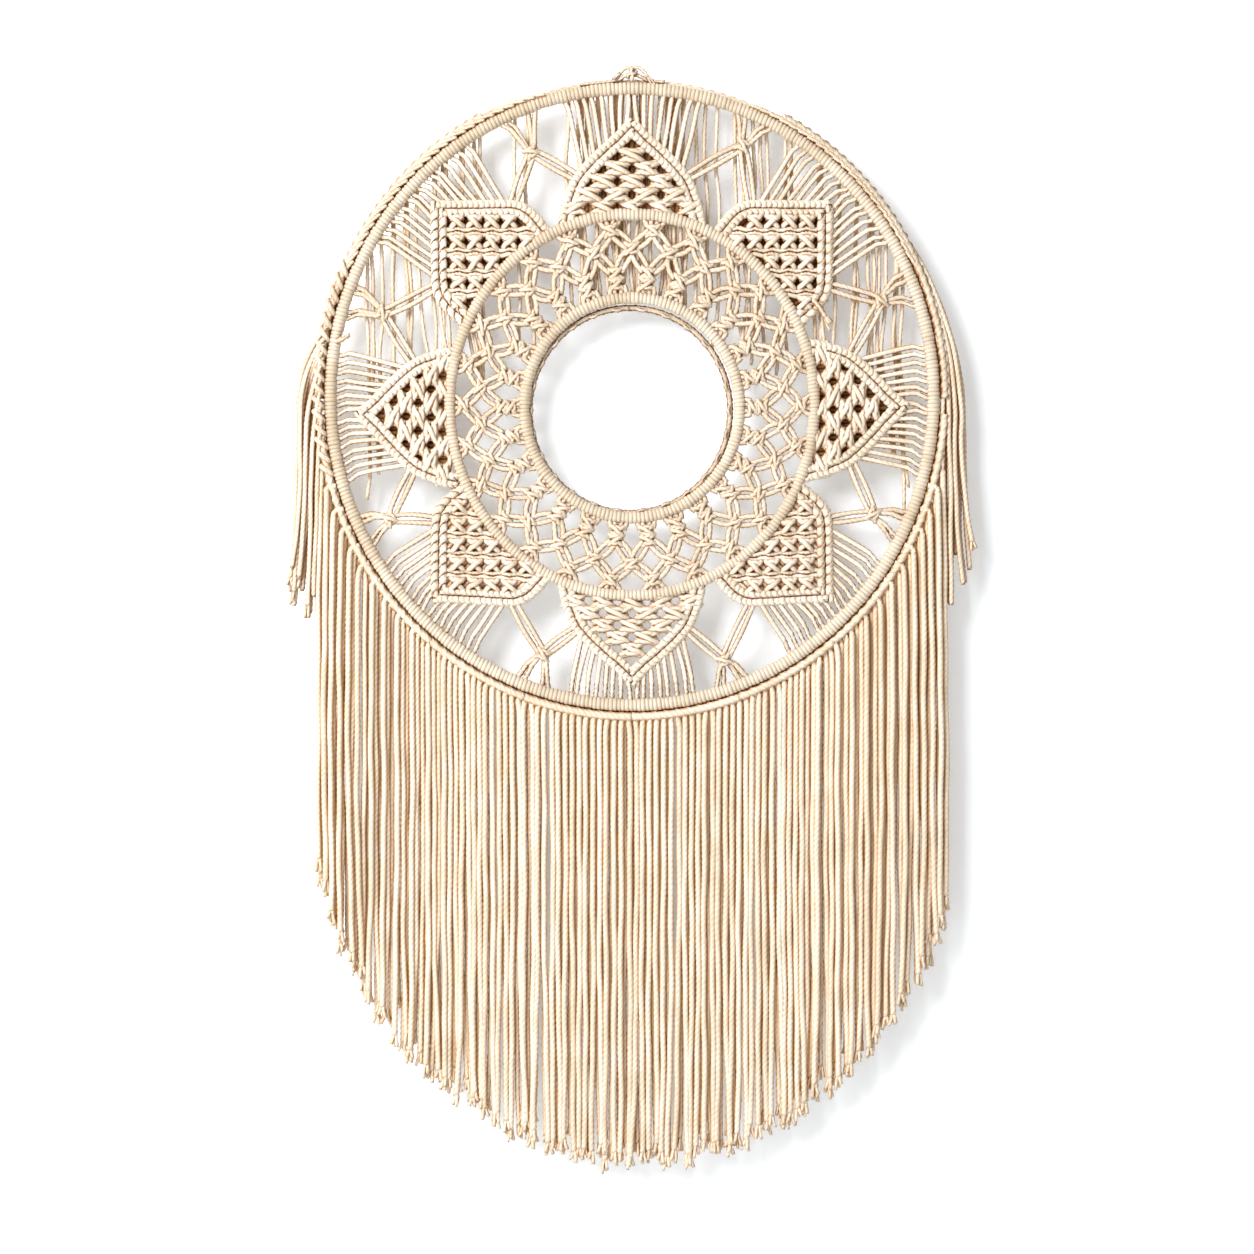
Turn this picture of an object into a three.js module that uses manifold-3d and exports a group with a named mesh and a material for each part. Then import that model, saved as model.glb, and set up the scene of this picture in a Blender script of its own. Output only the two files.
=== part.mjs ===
// A macrame dreamcatcher: cotton cord worked over three hoops, with a long fringe round the lower half.
// Millimetres, +Z up, +X to the viewer's right, and the front faces -Y. It hangs from the knot at its top:
// the origin is the top of that knot, in the middle plane of the hoops.
import * as THREE from 'three';
import { mergeVertices } from 'three/addons/utils/BufferGeometryUtils.js';
import Module from 'manifold-3d';

const wasm = await Module();
wasm.setup();

// Driving sizes of the hoops, with their close wrapping of cord
const OUTER_HOOP = { radius: 249.2, rod: 5.4, segments: 84, sides: 6 };
const MIDDLE_HOOP = { radius: 152.5, rod: 5.0, segments: 60, sides: 6 };
const INNER_HOOP = { radius: 89.0, rod: 5.0, segments: 42, sides: 6 };
const WRAP_GROOVE = 0.7;
const OUTER_CENTRE_Z = -270.4;
const INNER_SAG = 7.5;
const INNER_CENTRE_Z = OUTER_CENTRE_Z - INNER_SAG;

// Shared by all the cord work
const GAP = 0.3;
const STRAND_RADIUS = 2.2;
const SAME_PLANE = 0.05;
const COTTON = 0xe9dbc3;

// The knotted net between the inner and the middle hoop, with its three rows of knots
const NET = {
  columns: 26,
  sectors: 8,
  thickness: 5.0,
  strip: 6.2,
  fanStrip: 5.0,
  firstKnot: 11.2,
  rowA: 103.8,
  rowB: 126.6,
  rowC: 141.0,
  fanDegrees: 4.6,
};

// The eight petals: a pair of hitched bars down each side, and close knotting with small holes between them
const PETAL = {
  count: 8,
  tip: { across: 1.0, out: 228.5 },
  swell: { across: 46.5, out: 193.5 },
  foot: { across: 50.6, out: 152.0 },
  thickness: 5.2,
  edgeSteps: 3,
  barSteps: 7,
  ridgeDrop: 0.82,
  strands: 12,
  strandSpreadDegrees: 12.6,
  strandShare: 0.6,
  strandAcross: 3.4,
  strandDepth: 0.2,
};
const BAR_SECTION = [
  { across: -7.4, depth: 0.2, raised: false },
  { across: -4.0, depth: -4.6, raised: true },
  { across: 0.0, depth: -1.9, raised: false },
  { across: 4.0, depth: -4.6, raised: true },
  { across: 7.4, depth: 0.2, raised: false },
  { across: 0.0, depth: 4.6, raised: true },
];
const BAR_HALF_WIDTH = 7.4;
const BAR_INNER_HUMP = -4.0;
const HOLE = { half: 2.6, halfOut: 3.1, pitchAcross: 23.3, pitchOut: 10.4, firstOut: 215.5 };
const HOLE_ROWS = [
  { row: 0, holes: 1 },
  { row: 1, holes: 2 },
  { row: 2, holes: 1 },
  { row: 3, holes: 2 },
  { row: 4, holes: 3 },
  { row: 5, holes: 4 },
];

// The crossed pairs of strands in the gaps between the petals, each bound with one knot
const CROSSING = {
  radius: 220.5,
  knotRadius: 5.0,
  knotLength: 11.0,
  knotTurns: 3,
  knotWaist: 0.72,
  knotFlatness: 0.9,
  pairSpacing: 4.8,
  barShare: 0.62,
  barClearance: 1.3,
  outerDegrees: [-3.1, -1.5, 1.5, 3.1],
};

// The border row of hitches round the rim, which carries the fringe
const BORDER = { inner: 255.2, outer: 260.7, halfDepth: 5.2, stepDegrees: 6 };
const FRINGE = {
  stretchEnds: [87, 164, 258],
  lastDegrees: 88,
  reach: 258,
  pitch: 5.7,
  leastSpacing: 2.2,
  clearSpacing: 4.9,
  seamExtra: 0.4,
  endMargin: 1.5,
  rootDepth: 1.6,
  lengthMiddle: 360,
  lengthLeft: 326,
  lengthRight: 350,
  uneven: 5,
};

// The strands combed round the outside of the rim, in layers from front to back
const SIDE = {
  firstDegrees: 42,
  lastDegrees: 92,
  perLayer: 3,
  layers: [-1.5, -0.5, 0.5, 1.5],
  layerDepth: 4.8,
  rootDepthShare: 0.55,
  rootInset: 1.5,
  rootMargin: 2,
  rootDegrees: 16.5,
  layerShift: 0.25,
  spacing: 4.7,
  clearance: 0.5,
  stepDegrees: 10,
  dropLength: 158,
  dropUneven: 20,
};

// The tails that hang straight down behind the upper half, from the back of the rim
const BACK = {
  sectors: 4,
  lastDegrees: 66,
  marginDegrees: 0.7,
  spacing: 11.2,
  inner: 250.6,
  outer: 256.4,
  front: 5.9,
  back: 10.9,
  length: 196,
};
const KNOT = { halfWidth: 10.5, cord: 2.3, cordSides: 4, hump: 4.2, seat: 0.4 };

const degrees = (value) => THREE.MathUtils.degToRad(value);
const inDegrees = (value) => THREE.MathUtils.radToDeg(value);
const at = (x, y, z) => new THREE.Vector3(x, y, z);

// A point at a clockwise angle from the top, round one of the two centres.
function polar(centreZ, radius, angle, y = 0) {
  const turn = degrees(angle);
  return at(radius * Math.sin(turn), y, centreZ + radius * Math.cos(turn));
}

// A number from -1 to 1 that looks uneven but is the same every time.
function uneven(index) {
  return Math.sin(index * 2.399) * 0.6 + Math.sin(index * 5.13 + 1.0) * 0.4;
}

function solid(geometry) {
  geometry.deleteAttribute('normal');
  geometry.deleteAttribute('uv');
  const merged = mergeVertices(geometry, 1e-4);
  return new wasm.Manifold(new wasm.Mesh({
    numProp: 3,
    vertProperties: new Float32Array(merged.attributes.position.array),
    triVerts: new Uint32Array(merged.index.array),
  }));
}

function join(solids) {
  return solids.reduce((all, next) => all.add(next));
}

function meshOf(name, body) {
  const data = body.asOriginal().simplify(SAME_PLANE).getMesh();
  const geometry = new THREE.BufferGeometry();
  geometry.setAttribute('position', new THREE.BufferAttribute(data.vertProperties, 3));
  geometry.setIndex(new THREE.BufferAttribute(data.triVerts, 1));
  geometry.computeVertexNormals();
  const material = new THREE.MeshStandardMaterial({ color: COTTON, roughness: 0.9, metalness: 0 });
  const mesh = new THREE.Mesh(geometry, material);
  mesh.name = name;
  return mesh;
}

// A path through its points with one step for each stretch, whatever the stretch's length.
class Route extends THREE.Curve {
  constructor(points) {
    super();
    this.points = points;
  }

  getPoint(t) {
    const place = t * (this.points.length - 1);
    const index = Math.min(Math.floor(place), this.points.length - 2);
    return this.points[index].clone().lerp(this.points[index + 1], place - index);
  }

  getPointAt(u) {
    return this.getPoint(u);
  }

  getTangentAt(u) {
    return this.getTangent(u);
  }
}

// A length of cord along its points, as a prism of three or four sides.
function strand(points, radius = STRAND_RADIUS, sides = 3) {
  const corners = [];
  for (let side = 0; side < sides; side++) {
    const turn = (side / sides) * Math.PI * 2;
    corners.push(new THREE.Vector2(radius * Math.cos(turn), radius * Math.sin(turn)));
  }
  const section = new THREE.Shape(corners);
  const steps = points.length - 1;
  return solid(new THREE.ExtrudeGeometry(section, { steps, extrudePath: new Route(points) }));
}

// A flat plate: an outline in X and Z, from yFront back to yBack.
function plate(outline, yFront, yBack) {
  const shape = new THREE.Shape(outline.map((point) => new THREE.Vector2(point.x, point.z)));
  const geometry = new THREE.ExtrudeGeometry(shape, { depth: yBack - yFront, bevelEnabled: false });
  geometry.rotateX(Math.PI / 2);
  geometry.translate(0, yBack, 0);
  return solid(geometry);
}

// A straight flat strip between two points, of one width and centred in depth.
function strip(from, to, width, thickness) {
  const along = to.clone().sub(from).normalize();
  const side = at(along.z, 0, -along.x).multiplyScalar(width / 2);
  const outline = [
    from.clone().add(side),
    to.clone().add(side),
    to.clone().sub(side),
    from.clone().sub(side),
  ];
  return plate(outline, -thickness / 2, thickness / 2);
}

// An arc of the rim's border between two radii, from one angle to another.
function arcStrip(inner, outer, from, to, yFront, yBack) {
  const steps = Math.ceil((to - from) / BORDER.stepDegrees);
  const outline = [];
  for (let step = 0; step <= steps; step++) {
    outline.push(polar(OUTER_CENTRE_Z, outer, from + ((to - from) * step) / steps));
  }
  for (let step = steps; step >= 0; step--) {
    outline.push(polar(OUTER_CENTRE_Z, inner, from + ((to - from) * step) / steps));
  }
  return plate(outline, yFront, yBack);
}

// A round plug with its axis along Y, for trimming what ends on a hoop.
function plug(radius, centreZ, sides) {
  const geometry = new THREE.CylinderGeometry(radius, radius, 60, sides);
  geometry.translate(0, 0, centreZ);
  return solid(geometry);
}

const insideHoop = ({ radius, rod, segments }, centreZ) => plug(radius - rod - GAP, centreZ, segments);
const aroundHoop = ({ radius, rod }, centreZ) => plug(radius + rod + 2 * GAP, centreZ, 48);

// A block that covers all past a radial line, less half the gap between neighbours.
function beyondLine(angle, side) {
  const width = 120;
  const length = 400;
  const block = new THREE.BoxGeometry(width, 60, length);
  block.translate(side * (width / 2 - GAP / 2), 0, length / 2);
  block.rotateY(degrees(angle));
  block.translate(0, 0, INNER_CENTRE_Z);
  return solid(block);
}

// A block that covers all to one side of an upright line below the centre, less half the gap.
function besideLine(x, side) {
  const width = 200;
  const height = 600;
  const block = new THREE.BoxGeometry(width, 60, height);
  block.translate(x + side * (width / 2 - GAP / 2), 0, OUTER_CENTRE_Z - height / 2);
  return solid(block);
}

// A hoop with its close wrapping, as ridges raised in the tube's points.
function hoop({ radius, rod, segments, sides }, centreZ) {
  const geometry = new THREE.TorusGeometry(radius, rod, sides, segments);
  const place = geometry.attributes.position;
  const point = new THREE.Vector3();
  for (let index = 0; index < place.count; index++) {
    const ring = index % (segments + 1);
    if (ring % 2 === 1) {
      point.fromBufferAttribute(place, index);
      const axis = at(point.x, point.y, 0).setLength(radius);
      point.sub(axis).setLength(rod - WRAP_GROOVE).add(axis);
      place.setXYZ(index, point.x, point.y, point.z);
    }
  }
  geometry.rotateX(Math.PI / 2);
  geometry.translate(0, 0, centreZ);
  return solid(geometry);
}

// One sector of the net: three rows of knots, with pairs of cord running slantwise between them.
function netSector(first, last) {
  const column = 360 / NET.columns;
  const inner = INNER_HOOP.radius + INNER_HOOP.rod;
  const outer = MIDDLE_HOOP.radius - MIDDLE_HOOP.rod;
  const knot = (radius, angle) => polar(INNER_CENTRE_Z, radius, angle);
  const pieces = [];
  for (let index = first; index < last; index++) {
    const middle = (index + 0.5) * column;
    const knotA = knot(NET.rowA, middle);
    const knotC = knot(NET.rowC, middle);
    pieces.push(strip(knot(inner, middle), knotA, NET.firstKnot, NET.thickness));
    for (const side of [-1, 1]) {
      const knotB = knot(NET.rowB, middle + (side * column) / 2);
      const fan = knot(outer, middle + side * NET.fanDegrees);
      pieces.push(strip(knotA, knotB, NET.strip, NET.thickness));
      pieces.push(strip(knotB, knotC, NET.strip, NET.thickness));
      pieces.push(strip(knotC, fan, NET.fanStrip, NET.thickness));
    }
  }
  return join(pieces)
    .subtract(beyondLine(first * column, -1))
    .subtract(beyondLine(last * column, 1))
    .intersect(insideHoop(MIDDLE_HOOP, INNER_CENTRE_Z))
    .subtract(aroundHoop(INNER_HOOP, INNER_CENTRE_Z));
}

// A petal's own place, across it and out from the centre, turned to the petal's angle.
function petalPoint(across, out, angle, y = 0) {
  const turn = degrees(angle);
  const x = out * Math.sin(turn) + across * Math.cos(turn);
  return at(x, y, INNER_CENTRE_Z + out * Math.cos(turn) - across * Math.sin(turn));
}

// The line that a petal's pair of bars follows from tip to foot, moved outwards from its middle.
function barPoint(share, outwards) {
  const { tip, swell, foot } = PETAL;
  const curve = new THREE.QuadraticBezierCurve(
    new THREE.Vector2(tip.across, tip.out),
    new THREE.Vector2(swell.across, swell.out),
    new THREE.Vector2(foot.across, foot.out),
  );
  const along = curve.getTangent(share);
  return curve.getPoint(share).add(new THREE.Vector2(-along.y, along.x).multiplyScalar(outwards));
}

// The two hitched bars down one side of a petal: a drum whose rings are set along the bars' line.
function doubleBar(side, angle) {
  const corners = BAR_SECTION.length;
  const steps = PETAL.barSteps;
  const geometry = new THREE.CylinderGeometry(1, 1, 1, corners, steps);
  const place = geometry.attributes.position;
  for (let index = 0; index < place.count; index++) {
    const share = 0.5 - place.getY(index);
    const ridge = Math.round(share * steps) % 2 === 1;
    const onRim = Math.hypot(place.getX(index), place.getZ(index)) > 0.5;
    const turn = Math.atan2(place.getX(index), place.getZ(index)) / (Math.PI * 2);
    const corner = BAR_SECTION[(Math.round(turn * corners) + corners) % corners];
    const scale = corner.raised && !ridge ? PETAL.ridgeDrop : 1;
    const flat = barPoint(share, onRim ? corner.across : 0);
    const point = petalPoint(side * flat.x, flat.y, angle, onRim ? corner.depth * scale : 0);
    place.setXYZ(index, point.x, point.y, point.z);
  }
  return solid(side > 0 ? geometry : turnedInsideOut(geometry));
}

// A mirrored piece's faces point inwards until two corners of each are swapped.
function turnedInsideOut(geometry) {
  const { index } = geometry;
  for (let face = 0; face < index.count; face += 3) {
    const first = index.getX(face);
    index.setX(face, index.getX(face + 1));
    index.setX(face + 1, first);
  }
  return geometry;
}

function diamondHole(across, out, angle) {
  const { half, halfOut } = HOLE;
  const corners = [[half, 0], [0, halfOut], [-half, 0], [0, -halfOut]];
  const outline = corners.map(([right, up]) => petalPoint(across + right, out + up, angle));
  return plate(outline, -PETAL.thickness, PETAL.thickness);
}

// The close knotting inside a petal, as far as the inner of each pair of bars.
function petalFilling(angle) {
  const outline = [];
  for (let step = 0; step <= PETAL.edgeSteps; step++) {
    const flat = barPoint(step / PETAL.edgeSteps, BAR_INNER_HUMP);
    const across = Math.max(flat.x, 0.1);
    outline.push(petalPoint(across, flat.y, angle));
    outline.unshift(petalPoint(-across, flat.y, angle));
  }
  const holes = [];
  for (const { row, holes: count } of HOLE_ROWS) {
    for (let hole = 0; hole < count; hole++) {
      const across = (hole - (count - 1) / 2) * HOLE.pitchAcross;
      holes.push(diamondHole(across, HOLE.firstOut - row * HOLE.pitchOut, angle));
    }
  }
  return plate(outline, -PETAL.thickness / 2, PETAL.thickness / 2).subtract(join(holes));
}

// The point on the outer hoop's inner edge that a direction from the inner centre meets.
function onOuterHoop(angle) {
  const radius = OUTER_HOOP.radius - OUTER_HOOP.rod;
  const turn = degrees(angle);
  const reach = INNER_SAG * Math.cos(turn) + Math.sqrt(radius ** 2 - (INNER_SAG * Math.sin(turn)) ** 2);
  return polar(INNER_CENTRE_Z, reach, angle);
}

// A petal with the strands that tie it to the outer hoop.
function petal(angle) {
  const parts = [petalFilling(angle), doubleBar(1, angle), doubleBar(-1, angle)];
  for (let index = 0; index < PETAL.strands; index++) {
    const place = (index / (PETAL.strands - 1)) * 2 - 1;
    const flat = barPoint(Math.abs(place) * PETAL.strandShare, PETAL.strandAcross);
    const root = petalPoint(Math.sign(place) * flat.x, flat.y, angle, PETAL.strandDepth);
    parts.push(strand([root, onOuterHoop(angle + place * PETAL.strandSpreadDegrees)]));
  }
  return join(parts)
    .subtract(aroundHoop(MIDDLE_HOOP, INNER_CENTRE_Z))
    .intersect(insideHoop(OUTER_HOOP, OUTER_CENTRE_Z));
}

// The knot at a crossing: a short barrel with raised turns.
function crossingKnot(centre, angle) {
  const { knotRadius, knotLength, knotTurns, knotWaist, knotFlatness } = CROSSING;
  const geometry = new THREE.CylinderGeometry(knotRadius, knotRadius, knotLength, 5, knotTurns);
  const place = geometry.attributes.position;
  for (let index = 0; index < place.count; index++) {
    const turn = Math.round((place.getY(index) / knotLength + 0.5) * knotTurns);
    const scale = turn % 2 === 0 ? knotWaist : 1;
    place.setX(index, place.getX(index) * scale);
    place.setZ(index, place.getZ(index) * scale * knotFlatness);
  }
  geometry.rotateX(Math.PI / 2);
  geometry.rotateY(degrees(angle));
  geometry.translate(centre.x, 0, centre.z);
  return solid(geometry);
}

function crossing(angle) {
  const centre = polar(INNER_CENTRE_Z, CROSSING.radius, angle);
  const halfStep = 180 / PETAL.count;
  const pieces = [crossingKnot(centre, angle)];
  for (const side of [-1, 1]) {
    const near = barPoint(CROSSING.barShare, BAR_HALF_WIDTH + CROSSING.barClearance);
    const along = barPoint(1, 0).sub(barPoint(0, 0)).normalize();
    for (const lane of [-0.5, 0.5]) {
      const flat = near.clone().addScaledVector(along, lane * CROSSING.pairSpacing);
      pieces.push(strand([centre, petalPoint(-side * flat.x, flat.y, angle + side * halfStep)]));
    }
  }
  for (const turn of CROSSING.outerDegrees) {
    pieces.push(strand([centre, onOuterHoop(angle + turn)]));
  }
  return join(pieces).intersect(insideHoop(OUTER_HOOP, OUTER_CENTRE_Z));
}

// Where the strands of one stretch of the fringe hang, from the middle out, closer towards the side.
function fringePlaces(from, to) {
  const places = [];
  let across = from + FRINGE.pitch / 2 + FRINGE.seamExtra;
  while (across < to - FRINGE.endMargin) {
    const share = Math.min(across / FRINGE.reach, 1);
    const spacing = Math.max(FRINGE.pitch * Math.sqrt(1 - share * share), FRINGE.leastSpacing);
    places.push({ across, spacing });
    across += spacing;
  }
  return places;
}

function fringeStrand(side, { across, spacing }, index) {
  const layer = [0, -1, 1][index % 3];
  const y = layer * Math.sqrt(Math.max(0, FRINGE.clearSpacing ** 2 - spacing ** 2));
  const rootRadius = BORDER.outer - FRINGE.rootDepth;
  const rootZ = OUTER_CENTRE_Z - Math.sqrt(Math.max(0, rootRadius ** 2 - across ** 2));
  const rimZ = OUTER_CENTRE_Z - Math.sqrt(BORDER.outer ** 2 - across ** 2);
  const sideLength = side > 0 ? FRINGE.lengthRight : FRINGE.lengthLeft;
  const length = FRINGE.lengthMiddle + (sideLength - FRINGE.lengthMiddle) * (across / FRINGE.reach) ** 2;
  const endZ = rimZ - length + FRINGE.uneven * uneven(index * side + 7);
  return strand([at(side * across, y, rootZ), at(side * across, y, endZ)]);
}

// One stretch of the border row under the hoop with the strands that hang from it.
function fringeStretch(side, index) {
  const { stretchEnds, lastDegrees } = FRINGE;
  const from = index === 0 ? 0 : stretchEnds[index - 1];
  const to = stretchEnds[index];
  const isLast = index === stretchEnds.length - 1;
  const turnAt = (across) => inDegrees(Math.asin(across / BORDER.inner));
  const ends = [180 - side * (turnAt(from) - 1), 180 - side * (isLast ? lastDegrees : turnAt(to) + 1)];
  ends.sort((first, second) => first - second);
  let border = arcStrip(BORDER.inner, BORDER.outer, ends[0], ends[1], -BORDER.halfDepth, BORDER.halfDepth);
  border = border.subtract(besideLine(side * from, -side));
  if (!isLast) {
    border = border.subtract(besideLine(side * to, side));
  }
  const strands = fringePlaces(from, to).map((place, strandIndex) => fringeStrand(side, place, strandIndex));
  return join([border, ...strands]);
}

// A strand that leaves the rim at one angle and is pushed outwards as others join under it, then hangs.
function combedStrand(side, layer, start, index) {
  const y = layer * SIDE.layerDepth;
  const firstRadius = BORDER.outer + STRAND_RADIUS + SIDE.clearance;
  const rootRadius = BORDER.outer - SIDE.rootInset;
  const points = [polar(OUTER_CENTRE_Z, rootRadius, side * start, y * SIDE.rootDepthShare)];
  const steps = Math.max(1, Math.round((90 - start) / SIDE.stepDegrees));
  for (let step = 1; step <= steps; step++) {
    const turned = ((90 - start) * step) / steps;
    const radius = firstRadius + (SIDE.spacing * turned) / SIDE.rootDegrees;
    points.push(polar(OUTER_CENTRE_Z, radius, side * (start + turned), y));
  }
  const last = points[points.length - 1];
  const drop = SIDE.dropLength + SIDE.dropUneven * uneven(index * 3 + side);
  return strand([...points, at(last.x, y, last.z - drop)]);
}

// The rim's border on one side with the strands combed round it, which hang beside the long fringe.
function sideBundle(side) {
  const { firstDegrees, lastDegrees, perLayer, layers, rootDegrees, rootMargin, layerShift } = SIDE;
  const seam = inDegrees(GAP / BORDER.inner) / 2;
  const ends = [side * firstDegrees, side * (lastDegrees - seam)].sort((first, second) => first - second);
  const { inner, outer, halfDepth } = BORDER;
  const pieces = [arcStrip(inner, outer, ends[0], ends[1], -halfDepth, halfDepth)];
  layers.forEach((layer, layerIndex) => {
    for (let root = 0; root < perLayer; root++) {
      const start = firstDegrees + rootMargin + (root + layerIndex * layerShift) * rootDegrees;
      pieces.push(combedStrand(side, layer, start, layerIndex * perLayer + root));
    }
  });
  return join(pieces);
}

// One stretch of the back row with its tails; those behind the middle end behind the inner hoop.
function backStretch(from, to) {
  const seam = inDegrees(GAP / BACK.inner) / 2;
  const middle = (BACK.inner + BACK.outer) / 2;
  const depth = (BACK.front + BACK.back) / 2;
  const pieces = [arcStrip(BACK.inner, BACK.outer, from + seam, to - seam, BACK.front, BACK.back)];
  const count = Math.floor((middle * Math.sin(degrees(BACK.lastDegrees))) / BACK.spacing);
  for (let index = -count; index <= count; index++) {
    const x = (index + 0.5) * BACK.spacing;
    const angle = inDegrees(Math.asin(x / middle));
    if (angle > from + BACK.marginDegrees && angle < to - BACK.marginDegrees) {
      const rootZ = OUTER_CENTRE_Z + Math.sqrt(middle ** 2 - x ** 2);
      const hoopZ = INNER_CENTRE_Z + Math.sqrt(Math.max(0, INNER_HOOP.radius ** 2 - x ** 2));
      const freeEnd = rootZ - BACK.length + FRINGE.uneven * uneven(index + 40);
      const endZ = Math.abs(x) < INNER_HOOP.radius ? Math.max(freeEnd, hoopZ) : freeEnd;
      pieces.push(strand([at(x, depth, rootZ), at(x, depth, endZ)]));
    }
  }
  return join(pieces);
}

// The border cord's two ends, tied at the top: a bind between two tails, and two legs that lie on the rim.
function topKnot() {
  const { halfWidth, cord, cordSides, hump, seat } = KNOT;
  const rim = OUTER_HOOP.radius + OUTER_HOOP.rod + GAP;
  const low = OUTER_CENTRE_Z + rim + cord + seat;
  const bind = [
    at(0.5, -1.5, low - 0.5),
    at(-0.8, -2.2, low + 4),
    at(0.2, -1, low + 8),
    at(0.8, 0, -0.5),
  ];
  const left = [
    at(0, 0, low + 7),
    at(-3.5, 0, low + 9.2),
    at(-7, -0.5, low + 7.6),
    at(-halfWidth, -0.5, low + 6),
  ];
  const right = [
    at(0, 0, low + 7.5),
    at(4, 0, low + 9),
    at(8, -0.5, low + 6.2),
    at(halfWidth + 2, -0.5, low + 1),
  ];
  const legs = [-1, 1].map((side) => [
    at(0, 0, low + 5),
    at(side * 7, 0.4, low + 2.4),
    polar(OUTER_CENTRE_Z, rim + cord, side * 3.4, 0.6),
    polar(OUTER_CENTRE_Z, rim + cord, side * 6.5, 0.8),
  ]);
  const middle = new THREE.SphereGeometry(hump, 6, 4);
  middle.translate(0, 0, low + 5);
  const cords = [bind, left, right, ...legs].map((points) => strand(points, cord, cordSides));
  return join([solid(middle), ...cords]);
}

const dreamcatcher = new THREE.Group();
dreamcatcher.add(meshOf('outer_hoop', hoop(OUTER_HOOP, OUTER_CENTRE_Z)));
dreamcatcher.add(meshOf('middle_hoop', hoop(MIDDLE_HOOP, INNER_CENTRE_Z)));
dreamcatcher.add(meshOf('inner_hoop', hoop(INNER_HOOP, INNER_CENTRE_Z)));

for (let index = 0; index < NET.sectors; index++) {
  const first = Math.round((index * NET.columns) / NET.sectors);
  const last = Math.round(((index + 1) * NET.columns) / NET.sectors);
  dreamcatcher.add(meshOf(`net_${index + 1}`, netSector(first, last)));
}

for (let index = 0; index < PETAL.count; index++) {
  const angle = (index * 360) / PETAL.count;
  dreamcatcher.add(meshOf(`petal_${index + 1}`, petal(angle)));
  dreamcatcher.add(meshOf(`crossing_${index + 1}`, crossing(angle + 180 / PETAL.count)));
}

for (const [word, side] of [['left', -1], ['right', 1]]) {
  for (let index = 0; index < FRINGE.stretchEnds.length; index++) {
    dreamcatcher.add(meshOf(`fringe_${word}_${index + 1}`, fringeStretch(side, index)));
  }
  dreamcatcher.add(meshOf(`side_strands_${word}`, sideBundle(side)));
}

for (let index = 0; index < BACK.sectors; index++) {
  const width = (2 * BACK.lastDegrees) / BACK.sectors;
  const from = index * width - BACK.lastDegrees;
  dreamcatcher.add(meshOf(`back_strands_${index + 1}`, backStretch(from, from + width)));
}

dreamcatcher.add(meshOf('top_knot', topKnot()));

export default dreamcatcher;
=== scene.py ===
"""A macrame dreamcatcher of twisted cotton cord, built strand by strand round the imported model."""
import math

import bpy
import numpy as np
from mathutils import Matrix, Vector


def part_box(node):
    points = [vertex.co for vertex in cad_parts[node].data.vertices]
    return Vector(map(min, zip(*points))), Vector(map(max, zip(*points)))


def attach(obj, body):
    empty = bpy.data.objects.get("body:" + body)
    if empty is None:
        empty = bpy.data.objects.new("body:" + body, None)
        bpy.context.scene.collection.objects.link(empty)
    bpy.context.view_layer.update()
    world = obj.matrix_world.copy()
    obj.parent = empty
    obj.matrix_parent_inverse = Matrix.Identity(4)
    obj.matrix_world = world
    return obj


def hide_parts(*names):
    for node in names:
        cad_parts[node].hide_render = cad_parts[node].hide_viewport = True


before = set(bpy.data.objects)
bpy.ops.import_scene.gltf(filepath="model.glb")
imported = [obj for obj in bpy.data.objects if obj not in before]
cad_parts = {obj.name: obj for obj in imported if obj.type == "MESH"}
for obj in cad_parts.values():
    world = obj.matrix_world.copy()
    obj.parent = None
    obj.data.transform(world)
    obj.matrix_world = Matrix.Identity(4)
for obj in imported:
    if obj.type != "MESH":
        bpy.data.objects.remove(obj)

# All sizes are in millimetres until a mesh is made. The front faces -Y.
MM = 0.001
TINY = 1e-6
FRONT = np.array([0.0, -1.0, 0.0])
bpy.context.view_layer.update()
rng = np.random.default_rng(11)

# The cord: three plies, with one full turn of twist every LAY. A valley is its thickness between two plies
CORD = 2.2
LAY = 14.0
STEP = 2.2
COLUMNS = 6
VALLEY = 0.85
PAIR_VALLEY = 0.86
BEND_SAMPLES = 8

# A path this straight to the front gets its axes step by step
HEAD_ON = 0.93

# The meshes' second texture coordinate: how far along a cord in girths, plus a number of the cord's own
CORD_NUMBERS = 97
NUMBER_STEP = 100.0
PLY_TURNS = 3 * math.tau * CORD / LAY

# The hoops: each wrapped rod's radius, how many wraps go round it, and half a wrap's thickness
OUTER_WRAP = 5.4
MIDDLE_WRAP = 5.0
INNER_WRAP = 5.0
OUTER_WRAPS = 480
MIDDLE_WRAPS = 300
INNER_WRAPS = 172
WRAP_THICKNESS = 1.2


def hoop_of(node, wrap):
    """A hoop's centre height and the radius of its rod's circle, from its solid's box."""
    low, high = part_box(node)
    return (low[2] + high[2]) / 2 / MM, high[0] / MM - wrap


OUTER_Z, OUTER_R = hoop_of("outer_hoop", OUTER_WRAP)
INNER_Z, INNER_R = hoop_of("inner_hoop", INNER_WRAP)
MIDDLE_R = hoop_of("middle_hoop", MIDDLE_WRAP)[1]

# How the hoops and what hangs between them have settled: by radius, and by share of the way out
SETTLED_TALL = ((89.0, 152.5, 228.0, 262.0, 330.0), (0.011, 0.0237, 0.0116, 0.0105, 0.0))
SETTLED_UP = ((0.36, 0.61, 0.90, 0.945, 0.975), (-1.5, 1.0, 3.7, 3.7, 0.0))

# The camera: the image is this wide where the hoops are, and this is its middle there
IMAGE_WIDTH = 1024.6
IMAGE_MIDDLE = (-4.1, -458.4)
LENS = 85.0
SENSOR = 36.0


def unit(vectors):
    """Vectors of length 1."""
    return vectors / np.linalg.norm(vectors, axis=-1, keepdims=True)


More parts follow.
